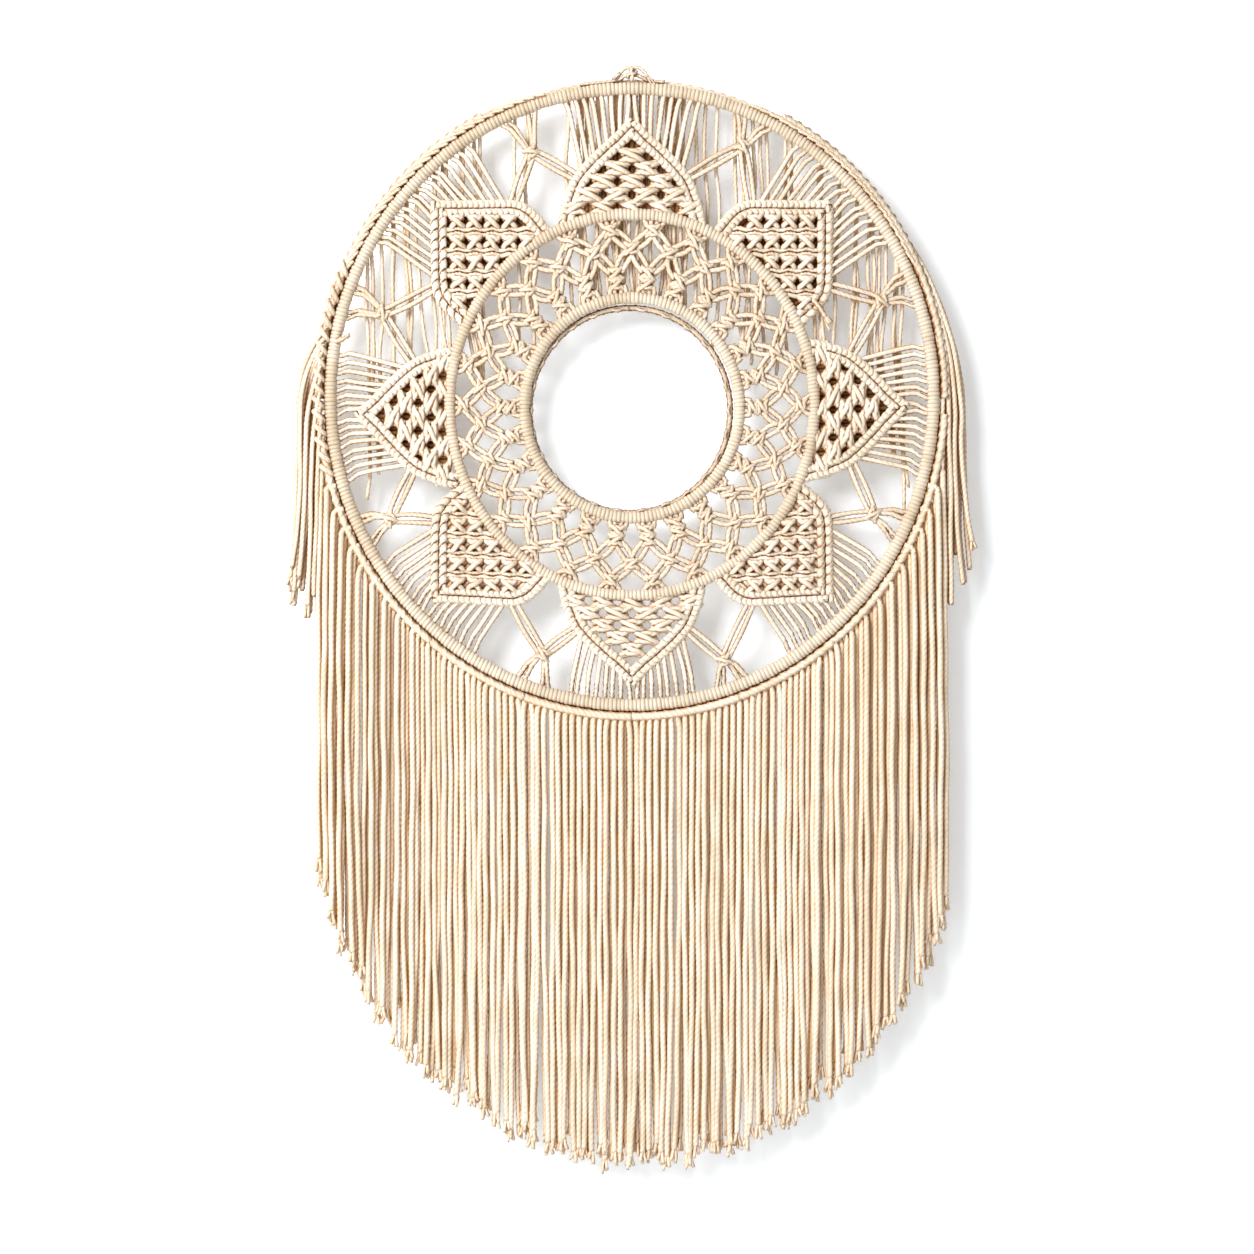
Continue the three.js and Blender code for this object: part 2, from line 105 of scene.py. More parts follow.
def polar(centre_z, radius, angle, y=0.0):
    """A point at a clockwise angle from the top, in degrees."""
    turn = math.radians(angle)
    return np.array([radius * math.sin(turn), y, centre_z + radius * math.cos(turn)])


def circle(centre_z, radius, count, y=0.0):
    """Points round a circle, clockwise from the top."""
    return np.array([polar(centre_z, radius, 360 * index / count, y) for index in range(count)])


def lengths(path):
    """How far along a path each of its points is."""
    return np.concatenate([[0], np.cumsum(np.linalg.norm(np.diff(path, axis=0), axis=1))])


def carried(rows, along, places):
    """Rows along a path, at other places along it."""
    return np.stack([np.interp(places, along, rows[:, axis]) for axis in range(3)], axis=1)


def smooth(points, step):
    """A smooth path through the points, with one point about every step, and how far along each is."""
    points = np.asarray(points, dtype=float)
    padded = np.vstack([2 * points[0] - points[1], points, 2 * points[-1] - points[-2]])
    share = np.linspace(0, 1, BEND_SAMPLES, endpoint=False)[:, None]
    fine = []
    for before, start, end, after in zip(padded, padded[1:], padded[2:], padded[3:]):
        linear = (end - before) * share
        square = (2 * before - 5 * start + 4 * end - after) * share**2
        cube = (3 * start - before - 3 * end + after) * share**3
        fine.append(start + 0.5 * (linear + square + cube))
    fine = np.vstack([*fine, points[-1:]])
    along = lengths(fine)
    places = np.linspace(0, along[-1], max(2, round(along[-1] / step) + 1))
    return carried(fine, along, places), places


def axes_along(path, front=FRONT):
    """Two axes square to the path at each of its points, the first towards the front where there is one."""
    ahead = unit(np.gradient(path, axis=0))
    if np.abs(ahead @ front).max() < HEAD_ON:
        side = unit(front - ahead * (ahead @ front)[:, None])
        return side, np.cross(ahead, side)
    side = np.empty_like(path)
    start = np.array([1.0, 0.0, 0.0]) if abs(ahead[0, 0]) < 0.9 else np.array([0.0, 0.0, 1.0])
    for index, direction in enumerate(ahead):
        start = start - direction * (start @ direction)
        start = start / math.sqrt(start @ start)
        side[index] = start
    return side, np.cross(ahead, side)


def round_section(count, radius, columns):
    """The same circle of points at each of a tube's places."""
    turn = np.arange(columns)[None] * math.tau / columns * np.ones((count, 1))
    return np.stack([radius * np.cos(turn), radius * np.sin(turn)], axis=-1)


def from_centre(points):
    """Where points lie from the inner centre, how far out, and as a share of the way to the outer hoop."""
    x, z = points[:, 0], points[:, 2] - INNER_Z
    out = np.hypot(x, z) + TINY
    reach = (OUTER_Z - INNER_Z) * z / out + OUTER_R
    return x, z, out, out / reach


def settled(points):
    """The points once the hoops have settled: a little taller than wide, the petals drawn up a little."""
    x, z, out, share = from_centre(points)
    upright = (z**2 - x**2) / out**2
    tall = out * upright * np.interp(out, *SETTLED_TALL)
    moved = points.copy()
    moved[:, 0] += tall * x / out
    moved[:, 2] += tall * z / out + np.interp(share, *SETTLED_UP)
    return moved


def unsettled(point):
    """Where a point has to be for it to settle at the one given."""
    found = np.array(point, dtype=float)
    for _ in range(4):
        found = point - (settled(found[None])[0] - found)
    return found


class Yarn:
    """Cords gathered into one mesh. Each is a row of rings of points, joined by quads."""

    def __init__(self):
        self.points, self.quads, self.uvs, self.total = [], [], [], 0
        self.slots, self.slot = [], 0

    def sweep(self, path, side, up, across, along, closed=False, turns=None, number=None):
        """A tube: each ring's points lie across, along side and up, and along gives the length so far."""
        rings, columns = across.shape[:2]
        points = path[:, None] + side[:, None] * across[..., :1] + up[:, None] * across[..., 1:]
        row = np.arange(rings if closed else rings - 1)[:, None]
        column = np.arange(columns)[None]
        after, beside = (row + 1) % rings, (column + 1) % columns
        near, far = row * columns, after * columns
        quads = np.stack([near + column, near + beside, far + beside, far + column], axis=-1).reshape(-1, 4)
        reach = np.append(along, along[-1] + along[1] - along[0]) / (math.tau * CORD)
        low, high = reach[row] + 0 * column, reach[row + 1] + 0 * column
        if turns is None:
            turns = np.linspace(0, 1, columns + 1)[None] + np.zeros((rings, 1))
        left, right = turns[:, :-1], turns[:, 1:]
        here, there = row[:, 0], after[:, 0]
        corners = [(left[here], low), (right[here], low), (right[there], high), (left[there], high)]
        uvs = np.stack([np.stack(corner, axis=-1) for corner in corners], axis=-2).reshape(-1, 4, 2)
        number = rng.integers(CORD_NUMBERS) if number is None else number
        self.add(points.reshape(-1, 3), quads, uvs + np.array([0.0, number * NUMBER_STEP]))
        if not closed:
            self.cap(self.total - rings * columns, columns, False)
            self.cap(self.total - columns, columns, True)

    def cap(self, first, columns, at_end):
        """Quads that close one end of a tube."""
        for corner in range(1, columns - 2, 2):
            quad = [first, first + corner, first + corner + 1, first + corner + 2]
            self.quads.append(np.array([quad if at_end else quad[::-1]]))
            self.uvs.append(np.zeros((1, 4, 2)))
            self.slots.append(np.full(1, self.slot))

    def add(self, points, quads, uvs):
        """More points, and quads between them, in the current material slot."""
        self.points.append(points)
        self.quads.append(quads + self.total)
        self.uvs.append(uvs)
        self.slots.append(np.full(len(quads), self.slot))
        self.total += len(points)

    def cord(self, points, radius=CORD, step=STEP, lay=LAY, valley=VALLEY, columns=COLUMNS, tip=1.0):
        """One twisted cord through the points. Its surface turns with the plies; tip thins its end."""
        path, along = smooth(points, step)
        side, up = axes_along(path)
        column = np.arange(columns)[None]
        number = rng.integers(CORD_NUMBERS)
        turn = column / columns + along[:, None] / lay - number * NUMBER_STEP * PLY_TURNS / 3
        thick = radius * np.where(column % 2 == 0, 1.0, valley) * np.ones((len(path), 1))
        thick[-1] *= tip
        across = np.stack([thick * np.cos(turn * math.tau), thick * np.sin(turn * math.tau)], axis=-1)
        # The texture turns with the plies, so the painted crease shade twists along the cord with them
        turns = 2 * np.hstack([turn, turn[:, :1] + 1])
        self.sweep(path, side, up, across, along, turns=turns, number=number)

    def lobe(self, points, radius, step, front=FRONT):
        """One cord of a knot, plump and without a visible twist, unshaded at its front and back, with
        painted shade on its sides.
        """
        path, along = smooth(points, step)
        side, up = axes_along(path, front)
        turns = 2 * np.linspace(0, 1, COLUMNS + 1)[None] + np.zeros((len(path), 1))
        self.sweep(path, side, up, round_section(len(path), radius, COLUMNS), along, turns=turns)

    def place(self, other, centre, across, outward):
        """A copy of another yarn, moved and turned. Its own axes are across, outward and to the front."""
        axes = np.stack([across, outward, FRONT])
        self.points += [points @ axes + centre for points in other.points]
        self.quads += [quads + self.total for quads in other.quads]
        self.uvs += other.uvs
        self.slots += other.slots
        self.total += other.total

    def piece(self, node, slot, *materials):
        """The mesh as one Blender object that stands for a node."""
        name = f"{node}_cord"
        mesh = bpy.data.meshes.new(name)
        points, quads = settled(np.concatenate(self.points)) * MM, np.concatenate(self.quads)
        mesh.vertices.add(len(points))
        mesh.vertices.foreach_set("co", points.ravel())
        mesh.loops.add(quads.size)
        mesh.loops.foreach_set("vertex_index", quads.ravel())
        mesh.polygons.add(len(quads))
        mesh.polygons.foreach_set("loop_start", np.arange(0, quads.size, 4))
        mesh.polygons.foreach_set("use_smooth", np.ones(len(quads), dtype=bool))
        for material in materials:
            mesh.materials.append(material)
        mesh.polygons.foreach_set("material_index", np.concatenate(self.slots))
        layer = mesh.uv_layers.new(name="around_and_along")
        layer.data.foreach_set("uv", np.concatenate(self.uvs).ravel())
        mesh.update(calc_edges=True)
        mesh.validate()
        made = added(name, mesh)
        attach(made, "root")
        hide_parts(node)


def added(name, data):
    """A new object in the scene."""
    made = bpy.data.objects.new(name, data)
    bpy.context.scene.collection.objects.link(made)
    return made


# Cord wound round a core: rings to a wrap, a wrap's half width by its pitch, and how its height varies
WRAP_STEPS = 10
HITCH_STEPS = 8
WRAP_COLUMNS = 6
WRAP_WIDTH = 0.60
WRAP_HEIGHTS = ((0.05, 1.7), (0.04, 0.61))
WRAP_SLANT = 0.5
RING_POINTS = 4
ROD_POINTS = 160
ROD_COLUMNS = 8


def wound(yarn, path, side, up, along, core, pitch, thick, slant, pairing=0.0, lump=0.0, steps=HITCH_STEPS):
    """A cord wound round a path in close wraps, which may lean and stand in pairs as lumps."""
    turns = int(along[-1] / pitch)
    turn = np.linspace(0, turns, turns * steps + 1)
    lean = slant * np.cos(turn * math.tau)
    place = along[-1] * turn / turns + lean + pairing * np.sin(turn * math.pi)
    (quick, quick_rate), (slow, slow_rate) = WRAP_HEIGHTS
    uneven = 1 + quick * np.sin(turn * quick_rate) + slow * np.sin(turn * slow_rate + 2)
    uneven += lump * np.cos(turn * math.pi)
    middle = carried(path, along, place)
    side, up = (unit(carried(axis, along, place)) for axis in (side, up))
    angle = turn[:, None] * math.tau
    outward = side * np.cos(angle) + up * np.sin(angle)
    centre = middle + outward * core * uneven[:, None]
    ahead = unit(np.gradient(centre, axis=0))
    outward = unit(outward - ahead * np.sum(outward * ahead, axis=1)[:, None])
    across = round_section(len(turn), 1.0, WRAP_COLUMNS) * [thick, pitch * WRAP_WIDTH]
    # Each wrap's outer face is unshaded in the texture, so the painted crease shade falls where wraps meet
    # each other and the core
    yarn.sweep(centre, outward, np.cross(ahead, outward), across, lengths(centre))


def rod(yarn, path, radius, closed=False):
    """A plain round core along a path."""
    if closed:
        side = np.tile(FRONT, (len(path), 1))
        up = np.cross(unit(np.roll(path, -1, axis=0) - np.roll(path, 1, axis=0)), side)
    else:
        side, up = axes_along(path)
    yarn.sweep(path, side, up, round_section(len(path), radius, ROD_COLUMNS), lengths(path), closed)


def wrapped_hoop(centre_z, radius, wrap, wraps):
    """A hoop: its rod, and the cord wound close round it as one coil."""
    yarn = Yarn()
    core = wrap - WRAP_THICKNESS
    rod(yarn, circle(centre_z, radius, ROD_POINTS), core - 0.2, closed=True)
    ring = circle(centre_z, radius, RING_POINTS * wraps)
    ring = np.vstack([ring, ring[:1]])
    side = unit(ring - np.array([0, 0, centre_z]))
    up = np.cross(unit(np.gradient(ring, axis=0)), side)
    girth = math.tau * radius
    along = np.linspace(0, girth, len(ring))
    wound(yarn, ring, side, up, along, core, girth / wraps, WRAP_THICKNESS, WRAP_SLANT, steps=WRAP_STEPS)
    return yarn


# A knot's strokes, in shares of its half width, its half height and its cord's thickness
KNOT_FRONT = np.array([0.0, 0.0, 1.0])
KNOT_STROKES = (
    ((-1.1, -0.95, -0.1), (-0.5, -0.42, 0.75), (0.0, 0.0, 1.05), (0.5, 0.42, 0.75), (1.1, 0.95, -0.1)),
    (
        (-1.1, 0.95, -0.1), (-0.55, 0.5, 0.5), (-0.12, 0.1, 0.35),
        (0.12, -0.1, 0.35), (0.55, -0.5, 0.5), (1.1, -0.95, -0.1),
    ),
    (
        (-0.8, 0.25, -0.3), (-0.62, 0.5, 0.35), (-0.2, 0.62, 0.7),
        (0.2, 0.62, 0.7), (0.62, 0.5, 0.35), (0.8, 0.25, -0.3),
    ),
    (
        (-0.8, -0.3, -0.3), (-0.62, -0.5, 0.35), (-0.2, -0.62, 0.65),
        (0.2, -0.62, 0.65), (0.62, -0.5, 0.35), (0.8, -0.3, -0.3),
    ),
)
KNOT_STEP = 2.0
KNOT_DRIFT = 0.25
KNOT_WAYS = (1, -1, 1, -1)


def star_knot(half_width, half_height, radius, strokes, way):
    """A knot of strokes that cross in its middle, with a lobe to each corner. A way of -1 mirrors it."""
    yarn = Yarn()
    for stroke in KNOT_STROKES[:strokes]:
        route = np.array(stroke) * [way * half_width, half_height, 2.0 * radius]
        yarn.lobe(route + rng.normal(0, KNOT_DRIFT, route.shape), radius, KNOT_STEP, KNOT_FRONT)
    return yarn


def tied(yarn, knots, centre, angle):
    """Puts one of a few knots at a point, turned clockwise by an angle."""
    turn = math.radians(angle)
    across = np.array([math.cos(turn), 0.0, -math.sin(turn)])
    outward = np.array([math.sin(turn), 0.0, math.cos(turn)])
    yarn.place(knots[rng.integers(len(knots))], centre, across, outward)


def pair(yarn, start, end, spacing, radius, bow):
    """Two strands side by side between two places, bowed a little."""
    beside = np.cross(FRONT, unit(end - start))
    for lane in (-0.5, 0.5):
        shift = beside * lane * spacing
        middle = (start + end) / 2 + beside * (lane * 1.3 * spacing + bow)
        yarn.cord([start + shift, middle, end + shift], radius, valley=PAIR_VALLEY)


# The net: three rows of knots between the inner and the middle hoop, the innermost row of double knots.
# A fan leads from each outermost knot to the middle hoop, and arms from each double knot to the inner one.
NET_COLUMNS = 26
NET_SECTORS = 8
NET_CORD = 2.6
NET_KNOT = (5.2, 4.6, 1.95, 4)
ROW_A = 104.2
ROW_B = 126.6
ROW_C = 140.8
DOUBLE_HALF = 3.9
KNOT_REACH = 4.2
NET_PAIR = 5.3
PAIR_LANE = 2.4
FAN_END = 9.6
FAN = ((0.9, 3.2), (2.6, FAN_END))
ARMS = ((1.8, 2.2), (5.2, 6.6))


def net_sector(index, knots):
    """The columns of one sector of the net, with the strands that run between their knots."""
    yarn = Yarn()
    first, last = (round(edge * NET_COLUMNS / NET_SECTORS + TINY) for edge in (index, index + 1))
    step = 360 / NET_COLUMNS
    for column in range(first, last):
        middle = (column + 0.5) * step
        knot_c = polar(INNER_Z, ROW_C, middle)
        for shift in (-DOUBLE_HALF, DOUBLE_HALF):
            tied(yarn, knots, polar(INNER_Z, ROW_A + shift, middle), middle + rng.normal(0, 3))
        tied(yarn, knots, knot_c, middle + rng.normal(0, 5))
        beside = middle + step / 2
        tied(yarn, knots, polar(INNER_Z, ROW_B, beside), beside + rng.normal(0, 5))
        across = unit(polar(0, 1, middle + 90))
        for side in (-1, 1):
            knot_b = polar(INNER_Z, ROW_B, middle + side * step / 2)
            top_a = polar(INNER_Z, ROW_A + DOUBLE_HALF + 2, middle) + across * side * PAIR_LANE
            way = unit(knot_b - top_a)
            pair(yarn, top_a, knot_b - way * KNOT_REACH * 0.6, NET_PAIR, NET_CORD, rng.normal(0, 0.5))
            way = unit(knot_c - knot_b)
            start, end = knot_b + way * KNOT_REACH * 0.5, knot_c - way * KNOT_REACH * 0.5
            pair(yarn, start, end, NET_PAIR, NET_CORD, rng.normal(0, 0.4))
            for lane, reach in FAN:
                start = knot_c + across * side * lane
                end = polar(INNER_Z, MIDDLE_R - 1.5, middle + math.degrees(side * reach / MIDDLE_R), 1.0)
                waist = (start + end) / 2 + across * side * (0.1 + 0.25 * reach / FAN_END)
                yarn.cord([start, waist, end], NET_CORD)
            for lane, reach in ARMS:
                start = polar(INNER_Z, INNER_R + 1.0, middle + math.degrees(side * reach / INNER_R), 0.5)
                end = polar(INNER_Z, ROW_A - DOUBLE_HALF - 1.5, middle) + across * side * lane
                bend = (start + end) / 2 + across * side * 0.6
                yarn.cord([start, bend, end], NET_CORD)
    return yarn


# The petals: a line from tip to foot, across and out, which two bars down each side follow
PETALS = 8
ROUND_LINE = (
    (0.8, 221.5), (10.2, 211.7), (23.0, 200.2), (34.7, 188.4), (42.2, 179.0),
    (46.6, 169.6), (50.0, 159.0), (52.3, 149.5), (53.3, 143.0),
)
SQUARE_LINE = (
    (0.8, 222.5), (12.0, 211.6), (25.5, 198.4), (38.0, 186.2), (45.6, 177.4),
    (48.4, 169.0), (48.4, 158.0), (47.4, 149.0), (46.8, 142.0),
)

# How far some petals hang down, by their angle, and over which shares of the way out that fades
PETAL_DROP = {90: 4.5, 270: 11.0}
DROP_FADES = ((0.9, 0.975), (1, 0))

# Each bar's lane beside the line, the share of the line where it starts, and how far it runs on past that
BARS = ((-3.4, 0.02, 0.0), (3.4, 0.0, 0.35))
BAR_END = 0.985
BAR_POINTS = 12
BAR_Y = 0.2

# What a bar is wound with: core, pitch, thickness, slant, and how much the wraps stand in pairs and lumps
HITCHED = (2.35, 4.5, 1.15, 2.0, 0.3, 0.05)
BEADED = (1.9, 7.8, 1.75, 2.2, 0.0, 0.0)
# The dark cord of painted shade between a petal's two bars: where along the line it runs, its thickness and
# its depth
SHADE_LINE_SHARES = np.linspace(0.0, 0.98, 12)
SHADE_LINE_CORD = 1.5
SHADE_LINE_Y = 1.6

# The rows of holes in a petal, and what lies between them
HOLE_PITCH = (23.3, 10.2)
FIRST_HOLE = 208.6
HOLE_ROWS = 6
PETAL_CORD = 2.45
ROUND_KNOT = (8.6, 5.1, PETAL_CORD, 4)
SQUARE_KNOT = (4.9, 4.7, PETAL_CORD, 3)
WAVE_DEPTH = 0.6
ROUND_CORD = 2.65
ROUND_WAVE = 0.9
DEEP_ROW_Y = 3.0
EDGE_ROOM = 4.0
EDGE_KNOT_Y = 2.6
LEAST_ROOM = 1.5

# A square petal's rows are level: its corner, its first hole and hole pitch from there, and its cords
SQUARE_CORNER = 157.3
SQUARE_HOLES = ((7.3, 14.4), (9.3, 16.0))
SQUARE_ROWS = 7
SQUARE_SHIFTS = (5.9, 10.1)
SQUARE_PLACES = np.arange(4.5, 110, 2.4)
SQUARE_CORD = 2.4
SQUARE_WAVE = 0.8
SQUARE_LEAN = 0.07
SQUARE_KNOT_Y = 0.4


def petal_line(angle):
    """The line that a petal's bars follow: the slanting petals have square shoulders."""
    return smooth([(x, 0, out) for x, out in (SQUARE_LINE if angle % 90 else ROUND_LINE)], 1.0)


def bar_point(angle, share, outwards):
    """A point on a petal's line, at a share of its length and moved outwards."""
    path, along = petal_line(angle)
    ahead = unit(np.gradient(path[:, ::2], axis=0))
    place = share * along[-1]
    rows = (path[:, 0], path[:, 2], *ahead.T)
    x, out, ahead_x, ahead_out = (np.interp(place, along, row) for row in rows)
    return np.array([x - ahead_out * outwards, out + ahead_x * outwards])


def bar_across(angle, out):
    """How far from the petal's middle its bars are, at a distance out from the centre."""
    path = petal_line(angle)[0][::-1]
    return np.interp(out, path[:, 2], path[:, 0])


def petal_point(across, out, angle, y=0.0):
    """A petal's own place, across it and out from the centre, turned to the petal's angle."""
    turn = math.radians(angle)
    x = out * math.sin(turn) + across * math.cos(turn)
    return np.array([x, y, INNER_Z + out * math.cos(turn) - across * math.sin(turn)])


def dropped(points, angle):
    """The points of a petal that hangs a little low, its strands still held by the outer hoop."""
    moved = points.copy()
    moved[:, 2] -= PETAL_DROP.get(angle, 0.0) * np.interp(from_centre(points)[3], *DROP_FADES)
    return moved


def foot_at(across, out, angle, y):
    """Where a strand leaves a petal."""
    return dropped(petal_point(across, out, angle, y)[None], angle)[0]


def petal_bars(yarn, side, angle, beaded):
    """The two hitched bars down one side of a petal, and a dark cord of painted shade between them."""
    core, pitch, thickness, slant, pairing, lump = BEADED if beaded else HITCHED
    for lane, first, past in BARS:
        flat = [bar_point(angle, share, lane) for share in np.linspace(first, BAR_END, BAR_POINTS)]
        flat[0] = flat[0] + (flat[0] - flat[1]) * past
        path, along = smooth([petal_point(side * x, out, angle, BAR_Y) for x, out in flat], 1.5)
        side_axis, up = axes_along(path)
        rod(yarn, path, core - 0.3)
        wound(yarn, path, side_axis, up, along, core, pitch, thickness, side * slant, pairing, lump)
    shade_line = [bar_point(angle, share, 0) for share in SHADE_LINE_SHARES]
    yarn.slot = 1
    yarn.lobe([petal_point(side * x, out, angle, SHADE_LINE_Y) for x, out in shade_line], SHADE_LINE_CORD, 4.0)
    yarn.slot = 0


def round_filling(yarn, angle, knots):
    """Wavy cords across a petal between its rows of holes, and a knot between each two holes."""
    across_step, out_step = HOLE_PITCH[0] / 2, HOLE_PITCH[1]
    for row in range(HOLE_ROWS):
        innermost = row == HOLE_ROWS - 1
        out = FIRST_HOLE - (row + 0.5) * out_step
        reach = bar_across(angle, out) - 1.5
        places = np.arange(-reach, reach + 1, 3.0)
        wave = np.cos(math.pi * (places / across_step - row))
        y = DEEP_ROW_Y if innermost else WAVE_DEPTH
        lines = zip(places, out - ROUND_WAVE * wave, y - WAVE_DEPTH * wave)
        route = [petal_point(x, far, angle, depth) for x, far, depth in lines]
        yarn.cord(route, ROUND_CORD, valley=PAIR_VALLEY)
        out = FIRST_HOLE - row * out_step
        for place in range(1 - row, row, 2):
            room = bar_across(angle, out) - abs(place * across_step)
            back = EDGE_KNOT_Y if innermost or room < EDGE_ROOM else 0.0
            if room > LEAST_ROOM:
                tied(yarn, knots, petal_point(place * across_step, out, angle, back), angle)


def square_filling(yarn, angle, knots):
    """The same for a petal with square shoulders, whose rows lie level."""
    turn = math.radians(angle)
    sides = np.sign([math.sin(turn), math.cos(turn)])
    (first_u, step_u), (first_w, step_w) = SQUARE_HOLES

    def inside(u, w, margin):
        out, across = (2 * SQUARE_CORNER - u - w) * math.sqrt(0.5), abs(u - w) * math.sqrt(0.5)
        beyond = math.hypot(SQUARE_CORNER - u, SQUARE_CORNER - w) > MIDDLE_R + margin
        return beyond and across < bar_across(angle, out) - 1.0 - margin

    def at(u, w, y):
        return np.array([sides[0] * (SQUARE_CORNER - u), y, INNER_Z + sides[1] * (SQUARE_CORNER - w)])

    for row in range(SQUARE_ROWS):
        for shift in SQUARE_SHIFTS:
            w = first_w + (row - 1) * step_w + shift
            route = []
            for u in SQUARE_PLACES:
                wave = math.cos(math.tau * (u - first_u) / step_u)
                if w > 5 and inside(u, w, 1.0):
                    route.append(at(u, w + SQUARE_WAVE * wave, 0.6 + WAVE_DEPTH * wave))
            if len(route) > 2:
                yarn.cord(route, SQUARE_CORD, valley=PAIR_VALLEY)
        for column in range(SQUARE_ROWS):
            u, w = first_u + (column + 0.5) * step_u, first_w + row * step_w
            if inside(u, w, 4.0):
                lean = math.degrees(rng.normal(0, SQUARE_LEAN))
                tied(yarn, knots, at(u, w, SQUARE_KNOT_Y), -lean)


# What shows behind a petal's holes: dark strands of painted shade, pale ones nearer the front, or nothing
PALE_PETALS = (135.0, 225.0)
OPEN_PETAL = 180.0
BEHIND_CORD = 2.6
BEHIND_SPACING = 4.6
BEHIND_COUNT = 9
DARK_Y = 5.2
PALE_Y = 2.6


def behind_petal(yarn, angle):
    """Strands that run out behind a petal's knots: dark brown ones that are painted shade in its holes, or
    pale ones nearer the front.
    """
    yarn.slot, y = (0, PALE_Y) if angle in PALE_PETALS else (1, DARK_Y)
    line = np.array([bar_point(angle, share, -4) for share in np.linspace(0.98, 0.03, 40)])
    for place in range(-BEHIND_COUNT, BEHIND_COUNT + 1):
        across = place * BEHIND_SPACING
        out = np.interp(abs(across), line[::-1, 0], line[::-1, 1])
        if out > MIDDLE_R + 6:
            ends = [petal_point(across, far, angle, y) for far in (MIDDLE_R - 2, out)]
            yarn.lobe(ends, BEHIND_CORD, 6.0)
    yarn.slot = 0


# The strands that tie a petal to the outer hoop, over this much of its line and of the hoop, in degrees
STRAND_CORD = 2.4
STRANDS_PER_SIDE = 8
STRAND_SHARE = 0.58
STRAND_SPREAD = 13.4
STRAND_LANE = 3.2


def hoop_reach(angle):
    """How far the outer hoop's circle is from the inner centre, at an angle."""
    turn = math.radians(angle)
    apart = OUTER_Z - INNER_Z
    return apart * math.cos(turn) + math.sqrt(OUTER_R**2 - (apart * math.sin(turn)) ** 2)


def petal_strands(yarn, angle):
    """The strands that tie a petal to the outer hoop, lower on it where the petal hangs low."""
    lower = math.degrees(PETAL_DROP.get(angle, 0.0) / OUTER_R) * math.copysign(1, 180 - angle)
    for side in (-1, 1):
        for index in range(STRANDS_PER_SIDE):
            share = (index + 0.35) / STRANDS_PER_SIDE
            x, out = bar_point(angle, share * STRAND_SHARE, STRAND_LANE)
            foot = foot_at(side * x, out, angle, rng.uniform(0.2, 1.4))
            turn = angle + side * STRAND_SPREAD * share + rng.normal(0, 0.18) + lower
            head = polar(INNER_Z, hoop_reach(turn), turn, 1.2)
            middle = (foot + head) / 2 + rng.normal(0, 0.6, 3)
            yarn.cord([foot, middle, head], STRAND_CORD, valley=PAIR_VALLEY)


# The crossed pairs of strands between the petals: each knot's distance out and angle, and the heads' angles
CROSS_PLACES = (
    (231, 23.1), (221, 67.1), (216, 114.1), (221, 160.1),
    (215.5, 199.7), (218, 245), (217, 290.3), (223, 338.5),
)
CROSS_PAIR = 5.0
CROSS_LANE = 3.4
CROSS_BAR_SHARE = 0.6
CROSS_OUTER = (-3.6, -2.1, 2.2, 3.7)
LOOSE_END = ((149.0, -2.0, -192.0), (155.0, -5.0, -199.0), (160.0, -5.5, -207.0))


def crossing(index, knots):
    """Two pairs of strands that cross in the gap between two petals, bound with one knot."""
    yarn = Yarn()
    half_step = 180 / PETALS
    between = (2 * index + 1) * half_step
    radius, angle = CROSS_PLACES[index]
    centre = unsettled(polar(INNER_Z, radius, angle))
    tied(yarn, knots, centre, angle + rng.normal(0, 8))
    for side in (-1, 1):
        petal = between + side * half_step
        x, out = bar_point(round(petal), CROSS_BAR_SHARE, CROSS_LANE)
        pair(yarn, centre, foot_at(-side * x, out, petal, 0.6), CROSS_PAIR, STRAND_CORD, rng.normal(0, 0.5))
    for turn in CROSS_OUTER:
        head = polar(INNER_Z, hoop_reach(angle + turn), angle + turn, 1.0)
        start = centre + unit(polar(0, 1, angle + 90)) * turn * 0.6
        middle = (start + head) / 2 + rng.normal(0, 0.6, 3)
        yarn.cord([start, middle, head], STRAND_CORD, valley=PAIR_VALLEY)
    if index == 1:
        yarn.cord(LOOSE_END)
        for _ in range(2):
            frayed_end(yarn, LOOSE_END, 2.6)
    return yarn


# The border row round the rim, and the dark cord of painted shade between it and the hoop
ROW_R = 258.4
ROW_CORD = 4.0
ROW_LAY = 27.0
ROW_Y = -0.8
ROW_VALLEY = 0.72
MIDDLE_ROW_VALLEY = 0.86
ROW_SHADE_LINE = 1.2
SIDE_SHADE_LINE = 2.2

# The cut ends of the strands: how long, and how far apart the plies stand
FRAY_LENGTH = (6, 12)
FRAY_SPREAD = (0.6, 1.7)
FRAY_THICKNESS = 0.64
FRAY_LAY = 9.0

# The long fringe: where its strands leave the rim, and how closely they hang
RIM_R = 260.7
ROOT_R = 256.5
ROOT_LEAN = 3.5
HEAD_Y = 1.0
FRINGE_CORD = 2.7
FRINGE_PITCH = 5.7
LEAST_SPACING = 2.2
CLEAR_SPACING = 4.9
FRINGE_EDGE = 258.0
FRINGE_TURN = 90.5
STRETCH_ENDS = (87.0, 164.0, 258.0)
FRINGE_LENGTH = {0: 357.0, -1: 323.0, 1: 347.0}
UNDER_LAYER_Y = 3.8
UNDER_STEP = 3.4
UNDER_REACH = 200.0
UNDER_SHARE = 0.88

# How a hanging strand waves: the heights over which it does, across and in depth
WAVE_STEP = 24.0
SLOW_WAVE = 31.0
QUICK_WAVE = 13.0
DEPTH_WAVE = 37.0


